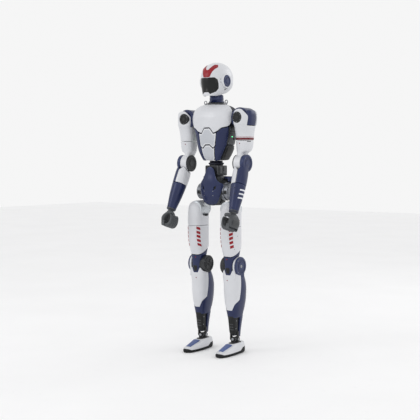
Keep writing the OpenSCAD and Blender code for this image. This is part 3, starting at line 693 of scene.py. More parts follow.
chest = [F(0, 1327), F(20, 1327), F(43, 1295), F(70, 1306), F(92, 1324), S(-60, 1333), S(-48, 1345), S(-38, 1380),
         S(-36, 1420), S(-30, 1445), S(-20, 1460), F(0, 1464)]
piece("chest_shell", "torso", WHITE, [panel(TORSO, mirrored(chest), 8, 5, 0, 6, 7)], ["chest_cover"])
upper = mirrored([(0, 1321), (18, 1321), (41, 1289), (60, 1294), (50, 1222), (37, 1210), (17, 1230), (0, 1230)])
lower = mirrored([(0, 1223), (14, 1223), (36, 1202), (44, 1212), (42, 1188), (36, 1150), (26, 1135), (0, 1135)])
# The belly rims are real white plates whose lighter colour is partly a painted highlight along their bevels.
piece("belly_rims", "torso", RIM_WITH_PAINTED_HIGHLIGHT, [panel(TORSO, [F(*q) for q in o], 8, 3, 0, 5, 4) for o in (upper, lower)],
      ["belly_plates"])
piece("belly_pads", "torso", GREY, [
    panel(TORSO, [F(*q) for q in inset([k for k in o if abs(k[0]) > 1], d)], 5, 1.6, 1.6, 5, 5)
    for o, d in ((upper, 6), (lower, 5))])
flank = [F(65, 1298), F(55, 1221), F(49, 1213), F(47, 1188), F(41, 1149), F(31, 1134), S(-50, 1135), S(-51, 1214),
         S(-45, 1227), S(-45, 1284), S(-57, 1329), F(92, 1319), F(71, 1301)]
for side, tag in ((1, "left_"), (-1, "right_")):
    piece(tag + "flank", "torso", NAVY, [panel(TORSO, flank, 8, 3, -0.5, 6, 5)], ["flank_covers"], side)
    piece(tag + "module_upper", "torso", GUNMETAL, [
        panel(TORSO, [S(-51, 1331), S(56, 1331), S(56, 1229), S(-41, 1229), S(-41, 1284)], 8, 3, 0, 6, 6,
              [[S(y, z) for y, z in circle(c, 1262, 7, 20)] for c in (12, 34)])], ["side_modules"], side)
    piece(tag + "module_lower", "torso", BLACK, [
        panel(TORSO, [S(-43, 1223), S(56, 1223), S(56, 1152), S(20, 1139), S(-44, 1136), S(-45, 1214)], 8, 3, 1, 6, 5),
        panel(TORSO, [S(-34, 1212), S(46, 1212), S(46, 1166), S(10, 1152), S(-34, 1150)], 5, 1.5, 3, 6, 6)],
        ["side_modules"], side)
    piece(tag + "module_fittings", "torso", STEEL, screws(TORSO, [
        S(-38, 1318), S(46, 1320), S(46, 1240), S(-32, 1238), S(-28, 1206), S(40, 1206), S(40, 1172), S(-28, 1156)],
        2.8, 0.5), side=side)
    piece(tag + "module_ports", "torso", BLACK, screws(TORSO, [S(12, 1262), S(34, 1262)], 6.5, -3) + [
        panel(TORSO, [S(-30, 1300), S(8, 1300), S(8, 1306), S(-30, 1306)], 3, 0.6, 0.8, 5, 2),
        panel(TORSO, [S(-30, 1288), S(-6, 1288), S(-6, 1293), S(-30, 1293)], 3, 0.6, 0.8, 5, 2)], side=side)
    piece(tag + "module_light", "torso", led, [panel(TORSO, [S(-14, 1272), S(-4, 1272), S(-4, 1277), S(-14, 1277)],
                                                     3, 0.8, 1.0, 4, 2)], side=side)
    piece(tag + "lifting_eye", "torso", STEEL, [
        torus(9, 2.6, (74, -10, 1479)),
        turned([(1448, 0), (1448, 5), (1466, 5), (1466, 7.5), (1469, 7.5), (1471.5, 4), (1471.5, 0)], "z", (74, -10, 0), 24)],
        ["lifting_eyes"], side)

BACK, TO_BACK = faced(TORSO_RINGS, "y+")
bf, bs = BACK.front, BACK.side
slots = [[bf(x, z) for x, z in box_outline(-42, z0, 42, z0 + 7)] for z0 in range(1352, 1420, 14)]
back_top = mirrored([bf(0, 1290), bf(60, 1290), bs(-60, 1300), bs(-60, 1400), bs(-58, 1440), bf(40, 1460), bf(0, 1460)])
back_low = mirrored([bf(0, 1136), bf(30, 1136), bs(-60, 1176), bs(-60, 1294), bf(56, 1284), bf(0, 1284)])
piece("back_shell", "torso", NAVY, [moved(panel(BACK, back_top, 9, 4, 0, 7, 6, slots), TO_BACK),
                                    moved(panel(BACK, back_low, 9, 4, 0, 7, 6), TO_BACK)], ["back_cover"])
piece("back_screws", "torso", STEEL, [moved(k, TO_BACK) for k in screws(BACK, [
    bf(-76, 1430), bf(76, 1430), bf(-92, 1310), bf(92, 1310), bf(-80, 1262), bf(80, 1262), bf(-48, 1160), bf(48, 1160)],
    3.2, 0)])

# ------------------------------------------------------------------ waist and pelvis

waist = [block((-46, -53, 1048), (46, 41, 1108), 3, 7),
         turned([(1040, 0), (1040, 44), (1111, 40), (1113, 38), (1113, 0)], "z", (0, -6, 0))]
piece("waist_block", "pelvis", CHARCOAL, waist, ["waist_unit"])
piece("waist_trim", "pelvis", GUNMETAL, [
    block((s * 41 - 4, -55, 1056), (s * 41 + 4, -46, 1106), 1.5, 2) for s in (-1, 1)] + [
    block((s * 46 - 2, y, 1060), (s * 46 + 2, y + 22, 1100), 1, 3) for s in (-1, 1) for y in (-36, 2)])
piece("waist_screws", "pelvis", STEEL, bolts("x", (0, 1060), 8, 2.4, 47.6, 2, 90) + [
    moved(k, ([[-1, 0, 0], [0, -1, 0], [0, 0, 1]], (0, 0, 0))) for k in bolts("x", (0, 1060), 8, 2.4, 47.6, 2, 90)])

PELVIS_RINGS = [[872, 0, -38, 36, 30, 2.4], [884, 0, -52, 42, 44, 2.6], [905, 0, -60, 46, 52, 3],
                [930, 0, -62, 50, 58, 3.4], [1030, 0, -56, 50, 58, 4], [1046, 0, -50, 46, 52, 4]]
PELVIS = Loft(PELVIS_RINGS)
pelvis = [tube(PELVIS, 0, PELVIS.v[-1], rows=18, solid=True, roll=3)]
for s in (-1, 1):
    pelvis.append(turned([(s * 50, 0), (s * 50, 50), (s * 71, 52), (s * 73, 53.2), (s * 82, 53.2), (s * 84, 51.5),
                          (s * 84, 49.5), (s * 76, 49.5), (s * 76, 0)], "x", (0, HIP[1], HIP[2]), 72))
piece("pelvis_shell", "pelvis", CHARCOAL, pelvis, ["pelvis_frame"])
APRON = Loft([[866, 0, -46, 50, 70, 2.4], [880, 0, -58, 50, 76, 2.4], [905, 0, -75, 50, 82, 2.4],
              [950, 0, -88, 50, 88, 2.4], [1000, 0, -88, 50, 90, 2.3], [1060, 0, -78, 50, 78, 2.3],
              [1104, 0, -71, 50, 70, 2.4]])
af = APRON.front
apron = [(0, 1101), (14, 1098), (26, 1086), (33, 1068), (40, 1046), (50, 1026), (66, 1010), (84, 998), (84, 984),
         (78, 960), (68, 928), (54, 899), (36, 881), (14, 876), (0, 876)]
holes = []
for s in (-1, 1):
    holes.append([af(s * x, z) for x, z in [(33, 964), (46, 972), (49, 990), (36, 982)]])
piece("apron_shell", "pelvis", NAVY, [panel(APRON, mirrored([af(*q) for q in apron]), 9, 4, 0, 5, 6, holes)],
      ["pelvis_front_cover"])
u_band = [(0, 868), (16, 869), (38, 873), (60, 892), (76, 924), (85, 956), (86, 976), (78, 970), (70, 940), (56, 908),
          (38, 890), (12, 882), (0, 882)]
piece("apron_band", "pelvis", GUNMETAL, [panel(APRON, mirrored([af(*q) for q in u_band]), 8, 3, -3.5, 5, 4)])
piece("apron_backing", "pelvis", BLACK, [panel(APRON, [af(*q) for q in box_outline(-52, 955, 52, 1000)], 3, 0.5, -7, 7, 3)])
for side, tag in ((1, "left_"), (-1, "right_")):
    piece(tag + "hip_rim", "pelvis", HIP_GREY, [turned([
        (62, 50), (62, 52.6), (70, 53.4), (82.5, 53.4), (84.3, 51.8), (84.3, 49.4), (80, 49.4), (62, 50)], "x",
        (0, HIP[1], HIP[2]), 80)], side=side)
    # Painted shadow: a black block set on the front of each hip rim where shade falls.
    piece(tag + "rim_slot", "pelvis", BLACK, [block((69, -60, 938), (81, -50, 958), 1, 3)], side=side)
piece("apron_screws", "pelvis", STEEL, screws(APRON, [af(s * x, z) for s in (-1, 1) for x, z in [(31, 958), (30, 932)]], 2.8))
REAR_RINGS = [[925, 0, -20, 62, 50, 3], [960, 0, -20, 72, 66, 3], [1006, 0, -20, 76, 104, 3],
              [1036, 0, -16, 74, 106, 3], [1046, 0, -10, 66, 96, 3]]
REAR, _ = faced(REAR_RINGS, "y+")
rf, rs = REAR.front, REAR.side
rear = mirrored([rf(0, 928), rf(38, 928), rf(56, 960), rf(57, 1004), rf(86, 1011), rs(-30, 1012), rs(9, 1013),
                 rs(8, 1040), rs(-30, 1044), rf(0, 1044)])
piece("rear_shell", "pelvis", NAVY, [
    moved(panel(REAR, rear, 9, 4, 0, 6, 6, [[rf(x, z) for x, z in box_outline(-26, z0, 26, z0 + 6)] for z0 in (968, 980, 992)]),
          TO_BACK),
    block((-100, 0, 1028), (100, 60, 1044), 4, 5)], ["pelvis_rear_cover"])

# ------------------------------------------------------------------ neck and head

piece("neck_shell", "neck", NAVY, [turned([
    (1475, 0), (1475, 46), (1477, 48), (1480, 46), (1484, 43), (1488, 42), (1489, 40.5), (1491, 40.5), (1492, 41.5),
    (1506, 41), (1507, 39.5), (1509, 39.5), (1510, 40.5), (1518, 40), (1524, 30), (1524, 0)], "z", (0, -3, 0), 72),
    block((-17, -17, 1518), (17, 17, 1549), 2, 3)], ["neck_column"])
HEAD = Loft([[1503, 0, -106, 0, 30, 2.4], [1516, 0, -111, 40, 48, 2.4], [1532, 0, -110, 84, 62, 2.3],
             [1560, 0, -108, 102, 76, 2.2], [1595, 0, -108, 109, 84, 2.2], [1630, 0, -106, 108, 84, 2.2],
             [1660, 0, -96, 98, 76, 2.2], [1685, 0, -74, 80, 60, 2.1], [1700, 0, -48, 54, 40, 2],
             [1708, 0, -22, 27, 19, 2], [1710, 0, 2, 3, 0.5, 2]])
hf, hs = HEAD.front, HEAD.side


def rim_of(surf, us, ys, zs, start):
    """v along the line whose height depends on y, at each u."""
    out = []
    for u in us:
        z = start
        for _ in range(12):
            y = surf.raw(np.array([u]), np.array([surf.v_at(z)]))[0][1]
            z = 0.5 * z + 0.5 * float(np.interp(y, ys, zs))
        out.append((u, surf.v_at(z)))
    return out


half_turn = math.pi * HEAD.R
jaw = rim_of(HEAD, np.linspace(-half_turn, half_turn, 73), [-60, 10, 50, 120], [1509, 1529, 1554, 1594], 1530)
dome = jaw + [(half_turn, HEAD.v[-1]), (-half_turn, HEAD.v[-1])]
visor = mirrored([(0, 1613), (48, 1614), (60, 1603), (63, 1580), (60, 1552), (50, 1534), (25, 1519), (15, 1530), (0, 1530)])
visor_hole = rounded([hf(*q) for q in visor], 2.5)
piece("helmet_shell", "head", WHITE, [panel(HEAD, dome, 7, 3, 0, 6, 0, [visor_hole], wrap="top")], ["helmet"], weld=0.25)
piece("helmet_lining", "head", BLACK, [panel(HEAD, [(u, v + (2 if v < HEAD.v[-1] - 5 else 0)) for u, v in dome], 2, 0.5,
                                             -7.4, 9, 0, wrap="top")], weld=0.25)
piece("visor_glass", "head", GLASS, [panel(HEAD, [hf(*q) for q in inset(visor, -2.5)], 3.5, 0.8, -1.2, 5, 2)], ["visor"])
fork = mirrored([(0, 1616), (21, 1616), (26, 1629), (33, 1647), (41, 1662), (50, 1676), (40, 1690), (26, 1691),
                 (20, 1680), (14, 1669), (7, 1660), (0, 1658)])
piece("helmet_trim", "head", RED, [panel(HEAD, [hf(*q) for q in fork], 3.5, 1, 1.4, 4, 2)])
for side, tag in ((1, "left_"), (-1, "right_")):
    piece(tag + "ear_disc", "head", NAVY, [turned([
        (70, 0), (70, 34), (84.5, 34), (87, 31.5), (87, 24), (85, 23), (85, 16), (87, 15), (87, 0)], "x",
        (0, -16, 1598))], ["ear_discs"], side)
    piece(tag + "ear_surround", "head", WHITE, [turned([
        (66, 35), (66, 44), (79, 43), (84, 40.5), (85, 38), (84, 35.2), (66, 35)], "x", (0, -16, 1598))], side=side)
    piece(tag + "head_vent", "head", BLACK, [panel(HEAD, [hs(-24, 1543), hs(-4, 1553), hs(-4, 1560), hs(-24, 1550)],
                                                   4, 1, 0.8, 4, 2)] + screws(HEAD, [hs(-64, 1605), hs(-62, 1588)], 2.2),
          side=side)

# ------------------------------------------------------------------ shoulders and arms

SX, SZ = SHOULDER[0], SHOULDER[2]
pair("shoulder_drum", "shoulder", NAVY, [
    turned([(-50, 0), (-50, 54), (-46, 58), (46, 58), (50, 54), (50, 0)], "y", (SX, 0, SZ), 72, 2),
    turned([(149, 0), (149, 42), (151, 44), (185, 44), (185, 0)], "x", (0, 0, SZ), 64)], ["shoulder_housing"])
pair("shoulder_plates", "shoulder", BLACK, [turned([
    (s * 48, 0), (s * 48, 31), (s * 73, 31), (s * 75.5, 29), (s * 75.5, 23), (s * 74, 22), (s * 74, 12), (s * 75.5, 11),
    (s * 75.5, 0)], "y", (SX, 0, SZ)) for s in (-1, 1)], ["shoulder_housing"])
pair("shoulder_bolts", "shoulder", STEEL, bolts("y", (SX, SZ), 26, 2, -75.4, 6, 30, -1) + bolts(
    "y", (SX, SZ), 26, 2, 75.4, 6, 30, 1))
ARM_RINGS = [[1251, ARM_X, -52, 42, 47, 2.6], [1290, ARM_X, -56, 46, 49, 2.7], [1330, ARM_X, -68, 60, 50, 3],
             [1350, ARM_X, -76, 72, 50, 3.4], [1385, ARM_X, -77, 77, 49, 3.6], [1432, ARM_X, -75, 75, 48, 3.6]]
ARM, ARM_TURN = faced(ARM_RINGS, "x+")
edge = math.pi * ARM.R


def strap(sign):
    """The round top of the front (-1) or rear (+1) strap, from its inner end to its outer end."""
    out = []
    for a in np.linspace(180, 0, 25):
        x, z = ARM_X + 47.5 * math.cos(math.radians(a)), SZ + 48 * math.sin(math.radians(a))
        out.append(ARM.side(-x, z, sign))
    return out


low_v, cap_v = ARM.v_at(1251.5), ARM.v_at(1335)
front_in, rear_in = strap(-1), strap(1)
corner_u = [ARM.front(y, 1340)[0] for y in (-51, 51)]
inner_u = [-edge - corner_u[0], edge - corner_u[1]]
outline = [(-edge, low_v), (edge, low_v), (edge, cap_v), (inner_u[1], cap_v)] + rear_in + [(corner_u[1], cap_v), (
    corner_u[0], cap_v)] + front_in[::-1] + [(inner_u[0], cap_v), (-edge, cap_v)]
eyes = [[ARM.side(-x, z, s) for x, z in circle(SX, SZ, 32, 40)] for s in (-1, 1)]
pair("yoke_shell", "arm", WHITE, [moved(panel(ARM, outline, 9, 3.5, 0, 6, 0, eyes, wrap=True), ARM_TURN)],
     ["shoulder_yoke"], weld=0.05)
CAP, _ = faced([[1336, 208, -49, 49, 43, 3.2], [1360, 208, -50, 50, 46, 3.2], [1395, 208, -50, 50, 46.5, 3.2],
                [1418, 208, -49, 49, 43, 3], [1430, 208, -44, 44, 36, 2.8]], "x+")
cf, cs = CAP.front, CAP.side
pair("shoulder_cap", "arm", NAVY, [moved(panel(CAP, [
    cf(-40, 1338), cf(40, 1338), cs(-232, 1338, 1), cs(-232, 1400, 1), cf(38, 1424), cf(-38, 1424), cs(-232, 1400, -1),
    cs(-232, 1338, -1)], 8, 4, 0, 5, 5), ARM_TURN)], ["shoulder_cap"])
UPPER_RINGS = [[1142, 190, -58, -2, 19, 3], [1176, 189, -50, 27, 23.5, 2.6], [1194, 197, -48, 34, 41, 2.5],
               [1222, ARM_X, -51, 40, 46, 2.5], [1249.5, ARM_X, -52, 42, 47, 2.6]]
UPPER = Loft(UPPER_RINGS)
EY, EZ = ELBOW[1], ELBOW[2]
pair("arm_shell", "elbow_unit", WHITE, [
    tube(UPPER, 0, UPPER.v[-1], rows=14, solid=True, roll=2.5),
    turned([(168, 0), (168, 48), (170, 50), (211, 50), (213, 48), (213, 0)], "x", (0, EY, EZ), 72)], ["upper_arm"])
pair("arm_slot", "elbow_unit", BLACK, [panel(UPPER, [UPPER.side(y, z) for y, z in [(-40, 1243), (-14, 1243), (-14, 1247),
                                                                                 (-40, 1247)]], 3, 0.8, 0.8, 4, 1.5)])
pair("arm_dot", "elbow_unit", RED, screws(UPPER, [UPPER.front(194, 1234)], 3.0, 0.0))
piece("left_arm_band", "left_arm", RED_DARK, [moved(tube(ARM, ARM.v_at(1254), ARM.v_at(1266), 4, 1, 0.7, 3), ARM_TURN)])
piece("left_arm_band_line", "left_arm", RED, [moved(tube(ARM, ARM.v_at(1269), ARM.v_at(1271.5), 4, 0.8, 0.6, 3), ARM_TURN)])
pair("elbow_inner_disc", "elbow_unit", CHARCOAL, [turned([
    (170, 0), (170, 49.5), (163, 49.5), (161, 47), (161, 34), (163, 33), (163, 20), (161, 19), (161, 0)], "x",
    (0, EY, EZ), 64)] + bolts("x", (EY, EZ), 41, 2.2, 161, 6, 20, -1), ["elbow_disc"])

FORE_RINGS = [[-140, 0, -43, 43, 42, 2.2], [-110, 0, -45, 45, 42, 2.3], [-75, 0, -46, 44, 40, 2.6],
              [-30, 0, -40, 36, 37, 3], [12, 0, -34, 32, 36, 3]]
tilt, splay, hand_turn = math.radians(24.5), math.radians(4.5), math.radians(24.5 - 16)
ry = lambda a: np.array([[math.cos(a), 0, math.sin(a)], [0, 1, 0], [-math.sin(a), 0, math.cos(a)]])
rx = lambda a: np.array([[1, 0, 0], [0, math.cos(a), -math.sin(a)], [0, math.sin(a), math.cos(a)]])
FORE = (ry(-splay) @ rx(-tilt), ELBOW)
HAND = (FORE[0] @ ry(splay) @ rx(hand_turn), ELBOW + FORE[0] @ np.array([0, 0, -300.0]))
OUTER, OUT_TURN = faced(FORE_RINGS, "x+")
INNER, IN_TURN = faced(FORE_RINGS, "x-")


def on(shape, *frames):
    for m in frames:
        shape = moved(shape, m)
    return shape


os_, is_, if_ = OUTER.side, INNER.side, INNER.front
pair("forearm_arm", "forearm", NAVY, [
    on(panel(OUTER, [os_(-7, -138.5, -1), os_(-7, -54, -1), os_(-15, -48, -1), os_(-15, 6, -1), os_(-15, 6, 1),
                     os_(-15, -48, 1), os_(-7, -54, 1), os_(-7, -138.5, 1)], 8, 3, 0, 6, 4), OUT_TURN, FORE),
    turned([(214, 0), (214, 49), (216, 50), (235, 50), (238, 47), (238, 36), (236, 35), (236, 22), (238, 21), (238, 0)],
           "x", (0, EY, EZ), 72),
    on(turned([(-139, 0), (-139, 38), (-90, 36), (-62, 20), (-62, 0)], "z", (0, 0, 0)), FORE)], ["forearm_fork"])
pair("elbow_bolts", "forearm", STEEL, bolts("x", (EY, EZ), 42, 2.6, 238, 4, 45))
top = [if_(-y, -math.sqrt(55**2 - y * y)) for y in np.linspace(42, -40, 15)]
pair("collar_shell", "forearm", WHITE, [on(panel(INNER, [is_(5, -138.5, -1), is_(5, -60, -1)] + top + [
    is_(5, -60, 1), is_(5, -138.5, 1)], 8, 3, 0.3, 5, 3), IN_TURN, FORE)], ["forearm_collar"])
SLEEVE_RINGS = [[-305, 0, -26, 26, 26, 2.1], [-280, 0, -29, 29, 29, 2.1], [-210, 0, -38, 38, 37, 2.2],
                [-141, 0, -43, 43, 42, 2.2]]
SLEEVE = Loft(SLEEVE_RINGS)
pair("sleeve_shell", "sleeve", NAVY, [on(tube(SLEEVE, 0, SLEEVE.v[-1], 4, 2.5, 0, 20), FORE), on(turned(
    [(-144, 0), (-144, 39), (-142, 39), (-142, 0)], "z", (0, 0, 0)), FORE)], ["forearm_sleeve"])
pair("sleeve_screws", "sleeve", BLACK, [on(k, FORE) for k in screws(SLEEVE, [
    SLEEVE.front(6, -168), SLEEVE.front(12, -205), SLEEVE.front(4, -286)], 3)])
pair("wrist_ring", "sleeve", GUNMETAL, [on(tube(SLEEVE, 2, 9, 3, 1, 1, 3), FORE)])
SIDE, SIDE_TURN = faced(SLEEVE_RINGS, "x+")
bars = []
for k in range(3):
    z = -176 - 24 * k
    bars.append(on(panel(SIDE, [SIDE.front(y, q) for y, q in [(-24, z - 6), (22, z + 4), (22, z + 13), (-24, z + 3)]],
                         3, 0.6, 0.7, 5, 2), SIDE_TURN, FORE))
piece("left_sleeve_stripes", "left_sleeve", STRIPE, bars)

# ------------------------------------------------------------------ hands

PALM = Loft([[-94, 16, -40, 33, 10, 2.6], [-86, 17, -46, 40, 13, 2.8], [-60, 18, -50, 44, 14, 2.8],
             [-42, 14, -42, 38, 19, 2.5], [-30, 3, -34, 32, 28, 2.3], [-14, 0, -19, 19, 19, 2]])
thumb = curve([(0, -26, -25), (-12, -36, -25), (-24, -36, -26), (-33, -24, -27)])
n_t = len(thumb)
pair("palm_body", "hand", RUBBER, [on(k, HAND) for k in (
    tube(PALM, 0, PALM.v[-1], rows=16, solid=True, roll=3),
    sweep(thumb, np.interp(np.linspace(0, 1, n_t), [0, 0.5, 1], [8.5, 8.5, 6.5]), np.interp(
        np.linspace(0, 1, n_t), [0, 0.5, 1], [11, 10, 8]), 20, (0, 0, 1)),
    turned([(-50, 0), (-50, 9), (-48, 10), (-45.5, 10), (-45.5, 0)], "y", (8, 0, -98), 32),
    turned([(42, 0), (42, 9), (40, 10), (37.5, 10), (37.5, 0)], "y", (8, 0, -98), 32),
    block((0, -49, -96), (20, -45.5, -76), 1, 3), block((0, 37.5, -96), (20, 41, -76), 1, 3))] + [
    on(turned([(-21, 0), (-20, 8), (-15, 15), (0, 21), (15, 15), (20, 8), (21, 0)], "z", (0, 0, 0), 40, 5), HAND)], ["palm"])
pair("hand_plate", "hand", GUNMETAL, [on(sweep(curve([(24, -4, -36), (31, -4, -54), (32, -4, -72), (27, -4, -88)]),
                                              2.5, [26] + [30] * 17 + [28], 22, (0, 1, 0), 4, 0.6), HAND)])
path = curve([(7, 0, -98), (-6, 0, -102), (-22, 0, -98), (-33, 0, -85), (-37, 0, -67), (-37, 0, -50), (-31, 0, -39)], 5)
s_t = np.linspace(0, 1, len(path))
fingers = []
for i in range(4):
    y = -50 + 5.5 + 20.25 * i + 9.6
    t = np.interp(s_t, [0, 0.3, 0.55, 0.8, 1], [9.5, 11, 7.5, 4.8, 5]) * (1.0, 1.0, 0.97, 0.92)[i]
    fingers.append(on(sweep(path + (0, y, 0), t, 9.3, 20, (0, 1, 0), 2.8, 0.4), HAND))
pair("finger_row", "finger_set", RUBBER, fingers, ["fingers"])

# ------------------------------------------------------------------ hips and thighs

RX, RZ = ROLL[0], ROLL[2]
pair("hip_disc", "hip", HIP_GREY, [
    turned([(77, 0), (77, 46), (79, 48), (108, 48), (114, 42), (114, 30), (112, 29), (112, 0)], "x",
           (0, HIP[1], HIP[2]), 72)], ["hip_bracket"])
pair("hip_slots", "hip", BLACK, [block((86, -54, HIP[2] - 14), (104, -46, HIP[2] + 6), 1, 3)])
pair("hip_unit", "hip", CHARCOAL, [
    plate("y+", 50, [(RX - 18, 853), (RX + 18, 853), (RX + 18, 962), (RX - 18, 962)], 12, 2, 4, back=2),
    turned([(38, 0), (38, 18), (48, 18), (50, 16), (50, 0)], "y", (RX, 0, RZ), 40),
    block((RX - 17, 2, 927), (RX + 17, 48, 953), 2, 4)], ["hip_bracket"])
pair("hip_bolts", "hip", STEEL, bolts("x", (HIP[1], HIP[2]), 37, 2.6, 114, 6, 10) + bolts("y", (RX, RZ), 11, 2, 50, 4, 45))
pair("hip_motor_body", "thigh", SILVER, [turned([
    (-66, 0), (-66, 40), (-64, 43), (-58, 45), (-40, 45), (-39, 44), (-37, 44), (-36, 45), (20, 45), (21, 44), (23, 44),
    (24, 45), (34, 45), (37, 42), (37, 0)], "y", (RX, 0, RZ), 80)], ["hip_motor"])
THIGH_TOP = Loft([[753, LEG_X, -95, 45, 52, 2.5], [790, LEG_X, -95, 45, 52, 2.5], [830, LEG_X, -93, 44, 52, 2.4],
                  [860, LEG_X + 2, -88, 42, 50, 2.3], [882, LEG_X + 4, -76, 36, 42, 2.2],
                  [896, LEG_X + 2, -54, 22, 26, 2], [900, LEG_X, -36, 8, 14, 2], [901, LEG_X - 1, -17, -13, 1, 2]])
ts = THIGH_TOP.side
top_edge = math.pi * THIGH_TOP.R
shell = [(-top_edge, 0.0), (top_edge, 0.0), (top_edge, THIGH_TOP.v[-1]), (-top_edge, THIGH_TOP.v[-1])]
window = rounded([ts(-44, 812, -1), ts(-58, 832, -1), ts(-66, 862, -1), ts(-58, 884, -1), ts(10, 884, -1), ts(32, 862, -1),
                  ts(34, 828, -1), ts(22, 812, -1), ts(-10, 806, -1)], 5)
pair("thigh_dome", "thigh", WHITE, [panel(THIGH_TOP, shell, 5, 3, 0, 6, 0, [window], wrap="top")], ["thigh_upper"],
     weld=0.25)
pair("thigh_liner", "thigh", BLACK, [tube(THIGH_TOP, 2, THIGH_TOP.v_at(806), lift=-5.2, rows=4, solid=True, roll=1)])
piece("left_thigh_dot", "left_thigh", RED, screws(THIGH_TOP, [ts(-13, 788, 1)], 3.2))
pair("thigh_top_screws", "thigh", STEEL, screws(THIGH_TOP, [ts(-40, 770, 1), ts(-46, 800, 1)], 2.4))
THIGH_RINGS = [[560, LEG_X, -60, 34, 45, 2.6], [577, LEG_X, -61, 36, 46, 2.6], [610, LEG_X, -72, 40, 49, 2.5],
               [650, LEG_X, -85, 44, 52, 2.5], [700, LEG_X, -93, 45, 52, 2.5], [751.5, LEG_X, -95, 45, 52, 2.5]]
THIGH = Loft(THIGH_RINGS)


def slanted(surf, ys, zs, start, off=0.0):
    """v of an edge whose height depends on y, as a function of u."""
    us = np.linspace(-math.pi, math.pi, 73) * surf.R
    vs = [v + off for _, v in rim_of(surf, us, ys, zs, start)]
    return lambda u: float(np.interp(u, us, vs))


EDGE = ([-140, -58, 0, 80], [577, 577, 611, 651])
pair("thigh_sleeve", "knee_unit", WHITE, [tube(THIGH, slanted(THIGH, *EDGE, 600), THIGH.v[-1], 7, 3, 0, 24)], ["thigh_lower"])
pair("thigh_core", "knee_unit", BLACK, [tube(THIGH, THIGH.v_at(660), THIGH.v_at(749), lift=-7.5, rows=4, solid=True)])
pair("thigh_screws", "knee_unit", STEEL, screws(THIGH, [THIGH.side(-39, 727), THIGH.side(-33, 699), THIGH.side(-52, 622)], 2.6))
marks = []
for z in (736, 711, 688, 663, 638):
    for x0, x1, rise in ((LEG_X - 45, LEG_X - 30, 4), (LEG_X + 28, LEG_X + 44, 4)):
        marks.append(panel(THIGH, [THIGH.front(x0, z - 8 - rise), THIGH.front(x1, z - 8 + rise), THIGH.front(x1, z + 8 + rise),
                                   THIGH.front(x0, z + 8 - rise)], 2.4, 0.5, 0.5, 4, 1))
pair("thigh_marks", "knee_unit", RED, marks)

# ------------------------------------------------------------------ knees

BRACKET = Loft([[474, LEG_X, -57, -8, 12, 3], [490, LEG_X, -58, 0, 19, 3], [512, LEG_X, -60, 10, 30, 3],
                [540, LEG_X, -61, 14, 32, 3], [577, LEG_X, -61, 24, 42, 2.8], [610, LEG_X, -68, 34, 46, 2.6],
                [650, LEG_X, -82, 41, 50, 2.5]])
pair("knee_front", "knee_unit", NAVY, [tube(BRACKET, 0, slanted(BRACKET, [-140, -58, 0, 80], [575, 575, 609, 649], 600, -2),
                                           lift=-0.5, rows=24, solid=True, roll=3)], ["knee_bracket"])
pair("knee_tip", "knee_unit", BLACK, [panel(BRACKET, [BRACKET.front(LEG_X + x, z) for x, z in [
    (-9, 478), (9, 478), (14, 500), (11, 512), (-11, 512), (-14, 500)]], 4, 1.2, 0.9, 4, 3)])
pair("knee_dot", "knee_unit", RED, screws(BRACKET, [BRACKET.front(LEG_X - 4, 562)], 3.4))
ribs = []
for a in (40, 220):
    c, s = math.cos(math.radians(a)), math.sin(math.radians(a))
    ribs.append(turned([(54, 0), (54, 10), (57, 12), (60, 12), (60, 0)], "x", (0, 24 * c, KNEE[2] + 24 * s), 32))
arc = [(58.5, 38 * math.cos(math.radians(t)), KNEE[2] + 38 * math.sin(math.radians(t))) for t in range(70, 205, 9)]
arc2 = [(58.5, 38 * math.cos(math.radians(t)), KNEE[2] + 38 * math.sin(math.radians(t))) for t in range(250, 385, 9)]
ribs += [sweep(arc, 2.6, 3.4, 12, (1, 0, 0)), sweep(arc2, 2.6, 3.4, 12, (1, 0, 0)),
         rod([(57.5, -28, KNEE[2] + 14), (58.5, -6, KNEE[2] + 6), (58.5, 6, KNEE[2] - 6), (57.5, 28, KNEE[2] - 14)], 3.4)]
pair("knee_body", "knee_unit", CHARCOAL, [turned([
    (59, 0), (59, 44), (57.5, 45), (57.5, 49), (60, 51), (84, 51), (85, 50), (87, 50), (88, 51), (146, 51), (148, 49),
    (148, 0)], "x", (0, 0, KNEE[2]), 80)] + ribs, ["knee_motor"])
pair("knee_bolts", "knee_unit", STEEL, bolts("x", (0, KNEE[2]), 47, 1.6, 57.6, 8, 22, -1))

# ------------------------------------------------------------------ shins

SHIN_RINGS = [[78, LEG_X, -8, 54, 22, 2.8], [95, LEG_X, -12, 56, 25, 2.8], [137, LEG_X, -18, 62, 27, 2.8],
              [200, LEG_X, -29, 73, 34, 2.7], [229, LEG_X, -35, 80, 37, 2.6], [260, LEG_X, -42, 88, 42, 2.6],
              [300, LEG_X, -47, 94, 48, 2.6], [330, LEG_X, -50, 98, 51, 2.6], [381, LEG_X, -53, 100, 54, 2.6],
              [410, LEG_X, -54, 96, 54, 2.6], [440, LEG_X, -55, 82, 55, 2.7], [468, LEG_X, -55, 62, 56, 2.8],
              [502, LEG_X, -54, 40, 57, 3]]
SHIN = Loft(SHIN_RINGS)


def shin_half(sign):
    return [SHIN.front(LEG_X + sign * 19, 259), SHIN.front(LEG_X + sign * 35, 297), SHIN.side(-2, 322, sign),
            SHIN.side(-2, 470, sign), SHIN.front(LEG_X + sign * 48, 478), SHIN.front(LEG_X + sign * 29, 501),
            SHIN.front(LEG_X + sign * 15, 470)]


pair("shin_plate", "shin", WHITE, [
    panel(SHIN, shin_half(1) + shin_half(-1)[::-1], 7, 4, 0, 6, 5),
    turned([(150, 0), (150, 55), (152, 56.5), (160, 56.5), (161, 55), (161, 0)], "x", (0, 0, KNEE[2]), 72),
    plate("x+", 161, [(-50, 446), (-4, 446), (-4, 520), (-50, 520)], 11, 2, 4, back=2)], ["shin_shell"])
pair("shin_dot", "shin", RED, screws(SHIN, [SHIN.front(LEG_X - 5, 438)], 3.4))


